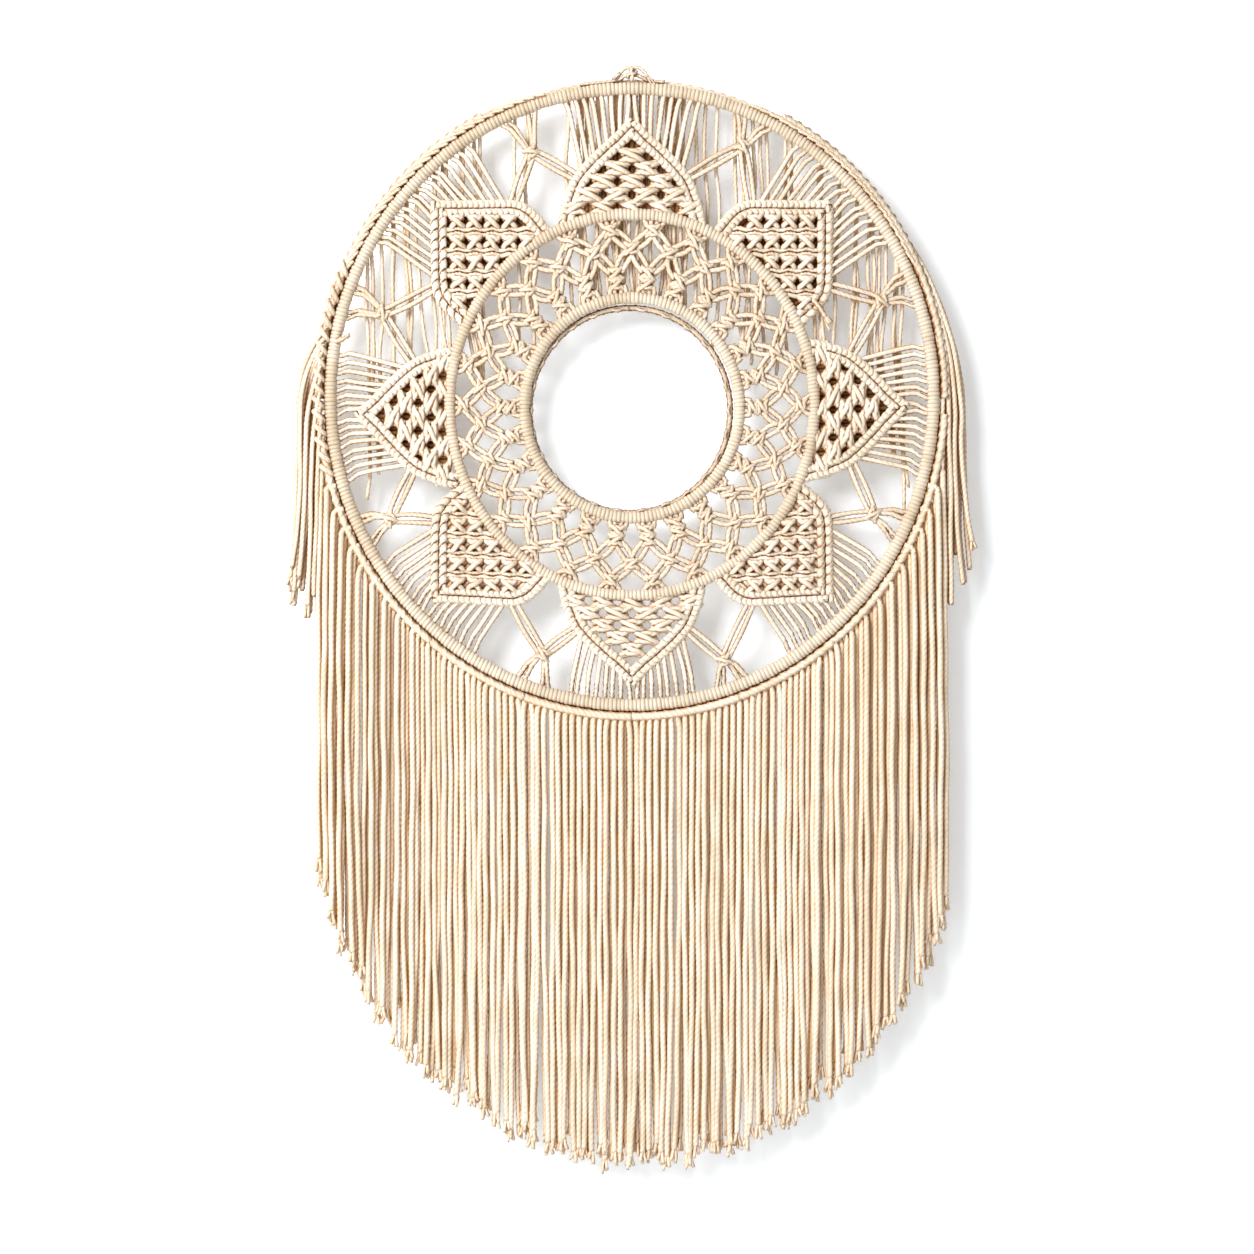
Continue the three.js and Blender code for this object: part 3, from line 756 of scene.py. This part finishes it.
def row_of_hitches(yarn, start, end, radius=ROW_R, cord=ROW_CORD, y=ROW_Y, valley=ROW_VALLEY, shade_line=ROW_SHADE_LINE):
    """Part of the border row, as a thick twisted cord along the rim, with a dark cord of painted shade along
    its inner edge if it has one.
    """
    angles = np.linspace(start, end, max(3, round(abs(end - start) / 2)))
    yarn.cord([polar(OUTER_Z, radius, angle, y) for angle in angles], cord, 2.4, ROW_LAY, valley)
    if shade_line:
        yarn.slot = 1
        yarn.lobe([polar(OUTER_Z, radius - cord, angle, y + 2.8) for angle in angles], shade_line, 5.0)
        yarn.slot = 0


def frayed_end(yarn, route, radius):
    """The plies of a cord's cut end, a little apart."""
    end, before = (np.array(point, dtype=float) for point in (route[-1], route[-2]))
    ahead = unit(end - before)
    beside = unit(np.cross(FRONT, ahead))
    first = rng.random() * math.tau
    for ply in range(3):
        turn = first + ply * math.tau / 3
        out = beside * math.cos(turn) + FRONT * math.sin(turn)
        length = rng.uniform(*FRAY_LENGTH)
        middle = end + ahead * length * 0.5 + out * radius * 0.7
        tip = end + ahead * length + out * radius * rng.uniform(*FRAY_SPREAD)
        points = [end + out * radius * 0.4, middle, tip]
        yarn.cord(points, FRAY_THICKNESS * radius, 2.5, FRAY_LAY, 0.95, 4, 0.85)


def hanging(yarn, points, end_z, drift, radius=CORD, step=STEP, sway=0.5, frayed=True):
    """A strand that follows its points and then hangs down to its end, not quite straight."""
    start = np.array(points[-1], dtype=float)
    count = max(2, round((start[2] - end_z) / WAVE_STEP))
    phases = rng.random(4) * math.tau
    route = list(points)
    for index in range(1, count + 1):
        share = index / count
        z = start[2] + (end_z - start[2]) * share
        wave = math.sin(z / SLOW_WAVE + phases[0]) + 0.6 * math.sin(z / QUICK_WAVE + phases[1])
        depth = math.sin(z / DEPTH_WAVE + phases[2])
        x = start[0] + sway * wave * min(1, 3 * share) + drift * share**4
        route.append(np.array([x, start[1] + 0.5 * sway * depth, z]))
    yarn.cord(route, radius, step, tip=1.0 if frayed else 0.8)
    if frayed:
        frayed_end(yarn, route, radius)


def fringe_places():
    """Where the strands hang, across from the middle, closer together and in layers towards the side."""
    places = []
    across = FRINGE_PITCH / 2
    while across < FRINGE_EDGE - 1.5:
        spacing = max(FRINGE_PITCH * math.sqrt(max(0, 1 - (across / FRINGE_EDGE) ** 2)), LEAST_SPACING)
        layer = (0, -1, 1)[len(places) % 3]
        places.append((across, layer * math.sqrt(max(0, CLEAR_SPACING**2 - spacing**2))))
        across += spacing
    return places


def fringe(side):
    """The fringe on one side of the middle, as one yarn for each stretch."""
    stretches = [Yarn() for _ in STRETCH_ENDS]
    starts = (0.0,) + STRETCH_ENDS[:-1]
    for yarn, start, end in zip(stretches, starts, STRETCH_ENDS):
        low, high = (math.degrees(math.asin(min(1, x / ROW_R))) for x in (start, end))
        valley = ROW_VALLEY if start else MIDDLE_ROW_VALLEY
        row_of_hitches(yarn, 180 - side * low, 180 - side * min(high, FRINGE_TURN), valley=valley)
    for index, (across, y) in enumerate(fringe_places()):
        yarn = stretches[sum(across > end for end in STRETCH_ENDS)]
        turn = math.asin(across / (RIM_R + 1))
        lean = ROOT_LEAN * math.sin(turn)
        x = side * (across + lean * 0.3) + rng.normal(0, 0.65)
        angle = 180 - side * math.degrees(turn)
        inner, outer = (polar(OUTER_Z, radius, angle, y * 0.6 + HEAD_Y) for radius in (ROOT_R, RIM_R + 1.5))
        inner[0] -= side * lean * 0.6
        rim_z = OUTER_Z - math.sqrt(RIM_R**2 - across**2)
        knee = np.array([x, y, rim_z - 11 - rng.uniform(0, 3)])
        length = np.interp((across / FRINGE_EDGE) ** 2, (0, 1), (FRINGE_LENGTH[0], FRINGE_LENGTH[side]))
        end_z = rim_z - length + np.clip(rng.normal(0, 3.4), -7, 7)
        drift = rng.normal(0, 1.9) + (1.1 if index % 2 else -1.1) * side
        hanging(yarn, [inner, outer, knee], end_z, drift, FRINGE_CORD)
        if across < UNDER_REACH and rng.random() < UNDER_SHARE:
            under = np.array([side * (across - FRINGE_PITCH / 2), UNDER_LAYER_Y, rim_z + 2])
            under_end, under_drift = end_z + rng.uniform(1, 16), rng.normal(0, 2.5)
            hanging(yarn, [under, under - [0, 0, 9]], under_end, under_drift, step=UNDER_STEP)
    return stretches


# The strands that hang outside the rim: the angle where each leaves the row, how far out it hangs, how far
# down it ends, and its depth. The left ones fall from the row, and the right ones follow the rim
SIDE_CORD = 2.35
SIDE_STRANDS = {
    -1: (
        (80, 273.2, 142, -1.0), (82.5, 270.8, 172, 4.0), (85, 268.6, 148, -1.5), (87.5, 266.3, 160, 3.8),
        (90, 263.9, 168, -1.5), (92.5, 261.6, 176, 3.6), (95, 259.2, 166, -1.5), (78, 274.8, 150, 3.0),
        (81, 272.0, 158, 1.4), (84, 267.6, 150, 1.2),
    ),
    1: (
        (60, 271.6, 118, 0.2), (64, 269.2, 150, 5.0), (67, 266.6, 152, 0.0), (70, 264.4, 128, 4.8),
        (73, 261.6, 170, -0.2), (77, 258.8, 172, 4.6), (80, 256.4, 160, 0.2), (58, 273.4, 140, 5.4),
    ),
}
FRAYED_FROM = (60, 78, 81, 84, 90)
SIDE_ROW = (28, 90.3)
SIDE_DRIFT = 5.5
SIDE_HOOK_Y = -5.5
SIDE_FALL = 64.0
STUB = ((-245.0, -2.0, -225.0), (-240.0, -6.6, -224.0), (-232.5, -5.6, -222.5))

# The small hitches on the left row: their angles, and one's cord in degrees along the row, radius and depth
HITCH_ANGLES = np.arange(66, 106, 2.5)
HITCH_CORD = 2.5
HITCH_LOOP = (
    (-1.1, ROW_R - 3.6, 0.0), (-0.5, ROW_R - 1.5, -3.6), (0.3, ROW_R + 2.0, -4.2),
    (0.9, ROW_R + 4.2, -1.5), (1.2, ROW_R + 3.4, 2.0),
)


def side_strands(side):
    """The border row at one side, and the strands that leave it and hang beside the fringe."""
    yarn = Yarn()
    row_of_hitches(yarn, side * SIDE_ROW[0], side * SIDE_ROW[1], shade_line=SIDE_SHADE_LINE)
    if side < 0:
        for angle in HITCH_ANGLES:
            places = [polar(OUTER_Z, radius, turn - angle, y) for turn, radius, y in HITCH_LOOP]
            yarn.lobe(places, HITCH_CORD, KNOT_STEP)
        yarn.cord(STUB, 2.6, 1.6, tip=0.9)
    for start, out, drop, y in SIDE_STRANDS[side]:
        points = [polar(OUTER_Z, ROW_R - 2.0, side * (start - 1.5), 0.0)]
        if side < 0:
            edge, _, rise = points[0]
            for share in (0.08, 0.25, 0.5, 0.75, 1.0):
                x = edge - (out + edge) * (1 - (1 - share) ** 2.2)
                hook = (SIDE_HOOK_Y - y) * max(0, 1 - 2 * share)
                points.append(np.array([x, y + hook, rise - SIDE_FALL * share]))
        else:
            for angle in np.arange(start + 5, 88, 6):
                turned = min(1, ((angle - start) / (90 - start)) ** 1.3)
                points.append(polar(OUTER_Z, ROW_R + 2 + (out - ROW_R - 2) * turned, side * angle, y))
            points.append(np.array([side * out, y, OUTER_Z - 10]))
        drift = side * SIDE_DRIFT * (out - 255) / 18 + rng.normal(0, 0.8)
        end_z = OUTER_Z - drop + rng.normal(0, 2)
        hanging(yarn, points, end_z, drift, SIDE_CORD, sway=0.7, frayed=start in FRAYED_FROM)
    return yarn


# The tails that hang down behind the upper half, and the row that holds them
BACK_LAST = 66.0
BACK_SECTORS = 4
BACK_R = 253.6
BACK_SPACING = 11.2
BACK_Y = 8.3
BACK_LENGTH = 196.0
BACK_CORD = 1.8
BACK_SWAY = 1.8
BACK_STEP = 3.4
BACK_ROW_R = 255.6
BACK_ROW_CORD = 2.5
BACK_ROW_Y = 6.5
BACK_GAPS = ((-119, -97), (-79, -56), (136, 150))

# The short lengths that lean round the rim, and how far out they bulge on each side
TUCK_CORD = 1.9
TUCK_STEP = 2.0
TUCK_FROM = {-1: 16.0, 1: 22.0}
TUCK_LAST = 72.0
TUCK_BULGE = {-1: 3.4, 1: 1.2}


def tucked_strands(yarn, start, end):
    """Short lengths that leave the border row, lean round the outside of the rim and go behind it."""
    for angle in np.arange(math.ceil(start / TUCK_STEP) * TUCK_STEP, end, TUCK_STEP):
        side = 1 if angle > 0 else -1
        if not TUCK_FROM[side] < abs(angle) < TUCK_LAST:
            continue
        bulge = TUCK_BULGE[side] * min(1, (abs(angle) - TUCK_FROM[side]) / 16) + rng.normal(0, 0.4)
        places = [(-2.0, 254.5, -3.4), (0.4, 255.8 + bulge * 0.5, -2.6), (3.4, 256.4 + bulge, 0.6)]
        places += [(7.4, 256.2 + bulge * 0.6, 4.6), (10.5, 252.5, 7.4)]
        points = [polar(OUTER_Z, radius, angle + side * turn, y) for turn, radius, y in places]
        yarn.cord(points, TUCK_CORD, 2.4)


def back_strands(index):
    """One stretch of the row at the back of the rim, with its tails, in uneven groups."""
    yarn = Yarn()
    width = 2 * BACK_LAST / BACK_SECTORS
    start = index * width - BACK_LAST
    row_of_hitches(yarn, start, start + width, BACK_ROW_R, BACK_ROW_CORD, BACK_ROW_Y, shade_line=0.0)
    tucked_strands(yarn, start, start + width)
    count = int(BACK_R * math.sin(math.radians(BACK_LAST)) / BACK_SPACING)
    for place in range(-count, count + 1):
        x = (place + 0.5) * BACK_SPACING
        angle = math.degrees(math.asin(x / BACK_R))
        if not start < angle < start + width:
            continue
        root = OUTER_Z + math.sqrt(BACK_R**2 - x**2)
        free_end = root - BACK_LENGTH + rng.normal(0, 8)
        hoop = INNER_Z + math.sqrt(max(0, INNER_R**2 - x**2))
        held = abs(x) < INNER_R + 6 and hoop > free_end
        if any(low < x < high for low, high in BACK_GAPS):
            continue
        for strand in range(rng.integers(1, 3) + (abs(x) < 50)):
            start_x = x + rng.normal(0, 2.0) + (strand - 0.5) * 3.6
            top = np.array([start_x, BACK_Y - 1 - 0.8 * strand, root])
            end_z = hoop + 1 if held else free_end + rng.normal(0, 9)
            drift = 0 if held else rng.normal(0, 6)
            points = [top, top + [0, 1, -12]]
            hanging(yarn, points, end_z, drift, BACK_CORD, BACK_STEP, BACK_SWAY, frayed=False)
    return yarn


# The knot at the top, from a little above the outer hoop, with its two short tails
TOP_CORD = 1.7
TOP_BIND = ((-0.6, -1.0, -2), (0.6, -2.8, 2), (-0.8, -3.0, 6), (0.3, -1.0, 9.5), (0.6, 1, 6))
TOP_BOW = ((-3.2, 1.2, 1), (-2.4, -2.4, 3.6), (2.2, -2.6, 4.2), (3.2, 0.8, 6.6), (0, 2, 5))
TOP_LEFT = ((1.5, 0, 5), (-2.5, -0.6, 9.4), (-6.4, -0.4, 8.2), (-9.3, -0.2, 5.0))
TOP_RIGHT = ((-1.5, 0.4, 6), (3, -0.4, 9.6), (8, -0.6, 8.0), (12.6, -0.4, 1.6))


def top_knot():
    """The border cord's two ends, tied over the top of the rim, with their short tails."""
    yarn = Yarn()
    low = OUTER_Z + OUTER_R + OUTER_WRAP + 2.5
    for route in (TOP_BIND, TOP_BOW, TOP_LEFT, TOP_RIGHT):
        yarn.cord(np.array(route) + [0, 0, low], TOP_CORD, 1.4, 9.0)
    for route in (TOP_LEFT, TOP_RIGHT):
        frayed_end(yarn, np.array(route) + [0, 0, low], TOP_CORD)
    for side, reach in ((-1, 9.5), (1, 6.0)):
        legs = [(0, 0.5, low + 4), (side * 6, 0.4, low + 2.6)]
        legs += [polar(OUTER_Z, OUTER_R + OUTER_WRAP + 1.6, side * angle, 1.5) for angle in (3, reach)]
        yarn.cord(legs, 2.0)
    return yarn


LIP_MIDDLE = np.array([-1.8, 0.0, -1.8])
LIP_LOOP = ((-4.0, 4.5, 4.5), (-2.0, 7.0, 2.2), (0.0, 7.8, 1.2), (2.0, 7.0, 2.2), (4.0, 4.5, 4.5))


def back_lip(yarn):
    """The cord at the back of the inner hoop and the loops on it, which show inside its edge."""
    ring = circle(INNER_Z, INNER_R - 6.0, 90, 3.8) + LIP_MIDDLE
    yarn.cord(np.vstack([ring, ring[:1]]), 2.9, 2.6, 22.0, 0.9)
    for column in range(NET_COLUMNS):
        angle = (column + 0.5) * 360 / NET_COLUMNS
        points = [polar(INNER_Z, INNER_R - inwards, angle + turn, y) for turn, inwards, y in LIP_LOOP]
        yarn.cord(points + LIP_MIDDLE, 1.8, 1.6)


# A Mix node's sockets for colours
MIX_FIRST = 6
MIX_SECOND = 7
MIX_RESULT = 2
WHITE = (1.0, 1.0, 1.0, 1.0)


def new_material(name, values):
    """A material, its node tree, and its shader with some inputs' values."""
    material = bpy.data.materials.new(name)
    material.use_nodes = True
    shader = material.node_tree.nodes["Principled BSDF"]
    for socket, value in values.items():
        shader.inputs[socket].default_value = value
    return material, material.node_tree, shader


def node(tree, kind, values=(), **settings):
    """A shader node, with its settings, and its inputs set to values or linked to sockets."""
    made = tree.nodes.new(kind)
    for name, value in settings.items():
        setattr(made, name, value)
    for name, value in dict(values).items():
        if isinstance(value, bpy.types.NodeSocket):
            tree.links.new(value, made.inputs[name])
        else:
            made.inputs[name].default_value = value
    return made


def result(tree, operation, *values):
    """What a Math node makes of sockets and numbers."""
    return node(tree, "ShaderNodeMath", dict(enumerate(values)), operation=operation).outputs[0]


def wave_of(tree, turns):
    """The cosine of a socket's value in full turns."""
    return result(tree, "COSINE", result(tree, "MULTIPLY", turns, math.tau))


def share_of(tree, value, low, high, shape="LINEAR"):
    """How far a socket's value is on the way from low to high."""
    values = {"Value": value, "From Min": low, "From Max": high}
    return node(tree, "ShaderNodeMapRange", values, interpolation_type=shape).outputs["Result"]


def noise(tree, vector, values):
    """A noise at a vector's place."""
    return node(tree, "ShaderNodeTexNoise", {"Vector": vector, **values}).outputs["Fac"]


def mixed(tree, factor, first, second, blend="MIX"):
    """A colour between two others, or one multiplied by the other."""
    values = {0: factor, MIX_FIRST: first, MIX_SECOND: second}
    return node(tree, "ShaderNodeMix", values, data_type="RGBA", blend_type=blend).outputs[MIX_RESULT]


COTTON_SHADER = {
    "Roughness": 0.92,
    "Sheen Weight": 0.08,
    "Sheen Roughness": 0.5,
    "Sheen Tint": (1.0, 0.93, 0.82, 1.0),
    "Specular IOR Level": 0.2,
}
FIBRE_SCALE = (5.0, 3.0, 1.0)
SLOW_SCALE = 34.0
OWN_TONE = 0.35
TONE_RANGE = (0.8, 1.4)
WORN_COLOUR = (0.80, 0.73, 0.64, 1.0)
# Painted shade in the grooves between plies: where round a ply it starts and ends, and its colour
GROOVE_SHADE_RANGE = (-1.0, -0.2)
GROOVE_SHADE_COLOUR = (0.62, 0.44, 0.27, 1.0)
# Painted shade where cords lie close, from an occlusion node: how far it looks, and the range it darkens
# over
SHADE_DISTANCE = 0.008
SHADE_RANGE = (0.1, 0.75)


def cotton(name, light, shade, crease, deep, plies):
    """Cotton cord with painted shade on its sides and creases, painted shade where cords lie close, painted
    shade in the grooves between its plies, and its fibres marked.
    """
    material, tree, shader = new_material(f"{name}_cord", COTTON_SHADER)
    place = node(tree, "ShaderNodeTexCoord")
    split = node(tree, "ShaderNodeSeparateXYZ", {0: place.outputs["UV"]})
    around, along = split.outputs["X"], split.outputs["Y"]
    # Painted shade: darker on the cord's sides and in its creases, by where round the cord a point lies
    crease_shade_mask = share_of(tree, wave_of(tree, around), *crease, "SMOOTHSTEP")
    tone = mixed(tree, crease_shade_mask, (*shade, 1.0), (*light, 1.0))
    spread = node(tree, "ShaderNodeMapping", {"Vector": place.outputs["UV"], "Scale": FIBRE_SCALE})
    fibres = noise(tree, spread.outputs[0], {"Scale": 1.0, "Detail": 4.0, "Roughness": 0.6})
    slow = noise(tree, place.outputs["Object"], {"Scale": SLOW_SCALE, "Detail": 2.0})
    both = result(tree, "ADD", fibres, slow)
    number = result(tree, "FLOOR", result(tree, "DIVIDE", along, NUMBER_STEP))
    own = node(tree, "ShaderNodeTexWhiteNoise", {"W": number}, noise_dimensions="1D").outputs["Value"]
    all_three = result(tree, "MULTIPLY_ADD", own, OWN_TONE, both)
    uneven = mixed(tree, share_of(tree, all_three, *TONE_RANGE), WORN_COLOUR, WHITE)
    # Painted shade in the grooves between the plies, which twist along the cord; then the uneven tone on top
    ply = result(tree, "MULTIPLY", around, 1.5)
    ply = result(tree, "SUBTRACT", ply, result(tree, "MULTIPLY", along, PLY_TURNS))
    groove_shade_mask = share_of(tree, wave_of(tree, ply), *GROOVE_SHADE_RANGE, "SMOOTHSTEP")
    groove_shade = mixed(tree, groove_shade_mask, GROOVE_SHADE_COLOUR, WHITE)
    shade_and_wear = mixed(tree, 1.0, mixed(tree, plies, tone, groove_shade, "MULTIPLY"), uneven, "MULTIPLY")
    # Painted shade where cords lie close: an occlusion node darkens and browns the colour there
    near = node(tree, "ShaderNodeAmbientOcclusion", {"Distance": SHADE_DISTANCE}, samples=6).outputs["AO"]
    depth = mixed(tree, share_of(tree, near, *SHADE_RANGE), (*deep, 1.0), WHITE)
    tree.links.new(mixed(tree, 1.0, shade_and_wear, depth, "MULTIPLY"), shader.inputs["Base Color"])
    bump = node(tree, "ShaderNodeBump", {"Height": fibres, "Strength": 0.5, "Distance": 0.0003})
    tree.links.new(bump.outputs["Normal"], shader.inputs["Normal"])
    return material


STAGE_SHADER = {"Roughness": 0.95, "Specular IOR Level": 0.1, "Emission Color": (1.0, 0.99, 0.98, 1.0)}


def plain(name, colour, painted_glow=0.0):
    """A matt stage material that is seen from its front only, and may have a little painted glow, though it
    is no lamp.
    """
    values = {**STAGE_SHADER, "Base Color": (*colour, 1.0), "Emission Strength": painted_glow}
    material, tree, shader = new_material(name, values)
    behind = node(tree, "ShaderNodeNewGeometry").outputs["Backfacing"]
    clear = node(tree, "ShaderNodeBsdfTransparent").outputs[0]
    either = node(tree, "ShaderNodeMixShader", {0: behind, 1: shader.outputs[0], 2: clear})
    tree.links.new(either.outputs[0], tree.nodes["Material Output"].inputs[0])
    return material


# The stage: a pale wall behind the hanging and a floor below it
WALL_Y = 30.0
FLOOR_Z = -1080.0
HALF_WIDTH = 4000.0
HALF_DEPTH = 2015.0


def stage_plane(name, centre, half_height, rise, material):
    """A flat sheet of the stage, as wide as the stage, its height along its rise."""
    centre, across, rise = (np.array(row, dtype=float) for row in (centre, (HALF_WIDTH, 0, 0), rise))
    corners = [(-1, -1), (1, -1), (1, 1), (-1, 1)]
    points = [centre + across * x + rise * y * half_height for x, y in corners]
    mesh = bpy.data.meshes.new(name)
    mesh.from_pydata([tuple(point * MM) for point in points], [], [(0, 1, 2, 3)])
    mesh.materials.append(material)
    added(name, mesh)


# The wall's glow is painted light that lifts the shadows on it
wall_paint = plain("wall_paint", (0.84, 0.89, 0.95), 0.22)
stage_plane("wall", (0, WALL_Y, 0), -FLOOR_Z, (0, 0, 1), wall_paint)
floor_paint = plain("floor_paint", (0.86, 0.86, 0.85))
stage_plane("floor", (0, WALL_Y - HALF_DEPTH, FLOOR_Z), HALF_DEPTH, (0, 1, 0), floor_paint)

# The camera is square to the hoops, as far off as its lens needs to frame the image's width
lens = bpy.data.cameras.new("camera")
lens.lens = LENS
lens.sensor_width = SENSOR
camera = added("camera", lens)
camera.location = (IMAGE_MIDDLE[0] * MM, -IMAGE_WIDTH * LENS / SENSOR * MM, IMAGE_MIDDLE[1] * MM)
camera.rotation_euler = (math.pi / 2, 0, 0)
bpy.context.scene.camera = camera

# One big soft light from the upper left, turned to the image's middle, and a dim warm world
lamp = bpy.data.lights.new("key", "AREA")
lamp.size = 1500 * MM
lamp.energy = 112
lamp.color = (1.0, 0.998, 0.99)
key = added("key", lamp)
key.location = [value * MM for value in (-1600, -2150, 850)]
direction = key.location.copy()
for axis, target in enumerate((0, 0, IMAGE_MIDDLE[1])):
    direction[axis] = target * MM - direction[axis]
key.rotation_euler = direction.to_track_quat("-Z", "Y").to_euler()
world = bpy.data.worlds.new("studio")
world.use_nodes = True
sky = world.node_tree.nodes["Background"].inputs
sky["Color"].default_value = (1.0, 0.94, 0.86, 1.0)
sky["Strength"].default_value = 0.39
bpy.context.scene.world = world
view = bpy.context.scene.view_settings
view.view_transform = "Standard"
view.look = "None"

# The cords' materials: unshaded colour, painted crease shade, where that shade starts and ends, painted
# shade where cords lie close, and how strongly the plies' grooves are shaded
# They are lighter and darker copies of one cotton, as painted light: the hoops' wrapped cord darker as it
# faces the lamp, the petals' and the fringe's cord lighter as they lie in more shade
wrapped = cotton("wrapped", (0.71, 0.63, 0.52), (0.29, 0.14, 0.045), (-0.7, 0.6), (0.48, 0.24, 0.08), 0)
knotted = cotton("knotted", (0.8, 0.73, 0.63), (0.48, 0.28, 0.11), (-0.8, 0.75), (0.54, 0.28, 0.1), 0.35)
bound = cotton("bound", (0.88, 0.83, 0.74), (0.52, 0.31, 0.13), (-0.8, 0.6), (0.54, 0.27, 0.09), 0.25)
# This dark brown cord is painted shade: it stands for the deep shade in the petals' holes and along the dark
# lines between bars and beside the border row
painted_shade_cord = cotton("core", (0.34, 0.18, 0.07), (0.14, 0.06, 0.02), (-0.9, 0.4), (0.4, 0.22, 0.1), 0)
side_cord = cotton("side", (0.82, 0.75, 0.65), (0.56, 0.36, 0.17), (-0.9, 0.6), (0.56, 0.3, 0.11), 0.4)
loose = cotton("fringe", (0.86, 0.785, 0.68), (0.73, 0.53, 0.34), (-0.85, 0.6), (1.0, 0.84, 0.62), 0.33)

for name, centre_z, radius, wrap, wraps in (
    ("outer_hoop", OUTER_Z, OUTER_R, OUTER_WRAP, OUTER_WRAPS),
    ("middle_hoop", INNER_Z, MIDDLE_R, MIDDLE_WRAP, MIDDLE_WRAPS),
    ("inner_hoop", INNER_Z, INNER_R, INNER_WRAP, INNER_WRAPS),
):
    yarn = wrapped_hoop(centre_z, radius, wrap, wraps)
    if name == "inner_hoop":
        back_lip(yarn)
    yarn.piece(name, "wrapped_cord", wrapped)

single_knots = [star_knot(*NET_KNOT, way) for way in KNOT_WAYS]
for index in range(NET_SECTORS):
    net_sector(index, single_knots).piece(f"net_{index + 1}", "knotted_cord", knotted)

round_knots = [star_knot(*ROUND_KNOT, way) for way in KNOT_WAYS]
square_knots = [star_knot(*SQUARE_KNOT, way) for way in KNOT_WAYS]
for index in range(PETALS):
    angle = index * 360 / PETALS
    square = index % 2 == 1
    yarn = Yarn()
    if square:
        square_filling(yarn, angle, square_knots)
    else:
        round_filling(yarn, angle, round_knots)
    if angle != OPEN_PETAL:
        behind_petal(yarn, angle)
    for side in (-1, 1):
        tip, shoulder = (petal_point(side * x, out, angle) for x, out in (SQUARE_LINE[0], SQUARE_LINE[3]))
        upright = abs(shoulder[2] - tip[2]) > 2 * abs(shoulder[0] - tip[0])
        petal_bars(yarn, side, angle, square and upright)
    yarn.points = [dropped(points, angle) for points in yarn.points]
    petal_strands(yarn, angle)
    yarn.piece(f"petal_{index + 1}", "knotted_cord", bound, painted_shade_cord)
    crossing(index, single_knots).piece(f"crossing_{index + 1}", "knotted_cord", knotted)

for word, side in (("left", -1), ("right", 1)):
    for index, yarn in enumerate(fringe(side)):
        yarn.piece(f"fringe_{word}_{index + 1}", "fringe_cord", loose, painted_shade_cord)
    side_strands(side).piece(f"side_strands_{word}", "fringe_cord", side_cord, painted_shade_cord)

for index in range(BACK_SECTORS):
    back_strands(index).piece(f"back_strands_{index + 1}", "fringe_cord", loose)

top_knot().piece("top_knot", "knotted_cord", knotted)
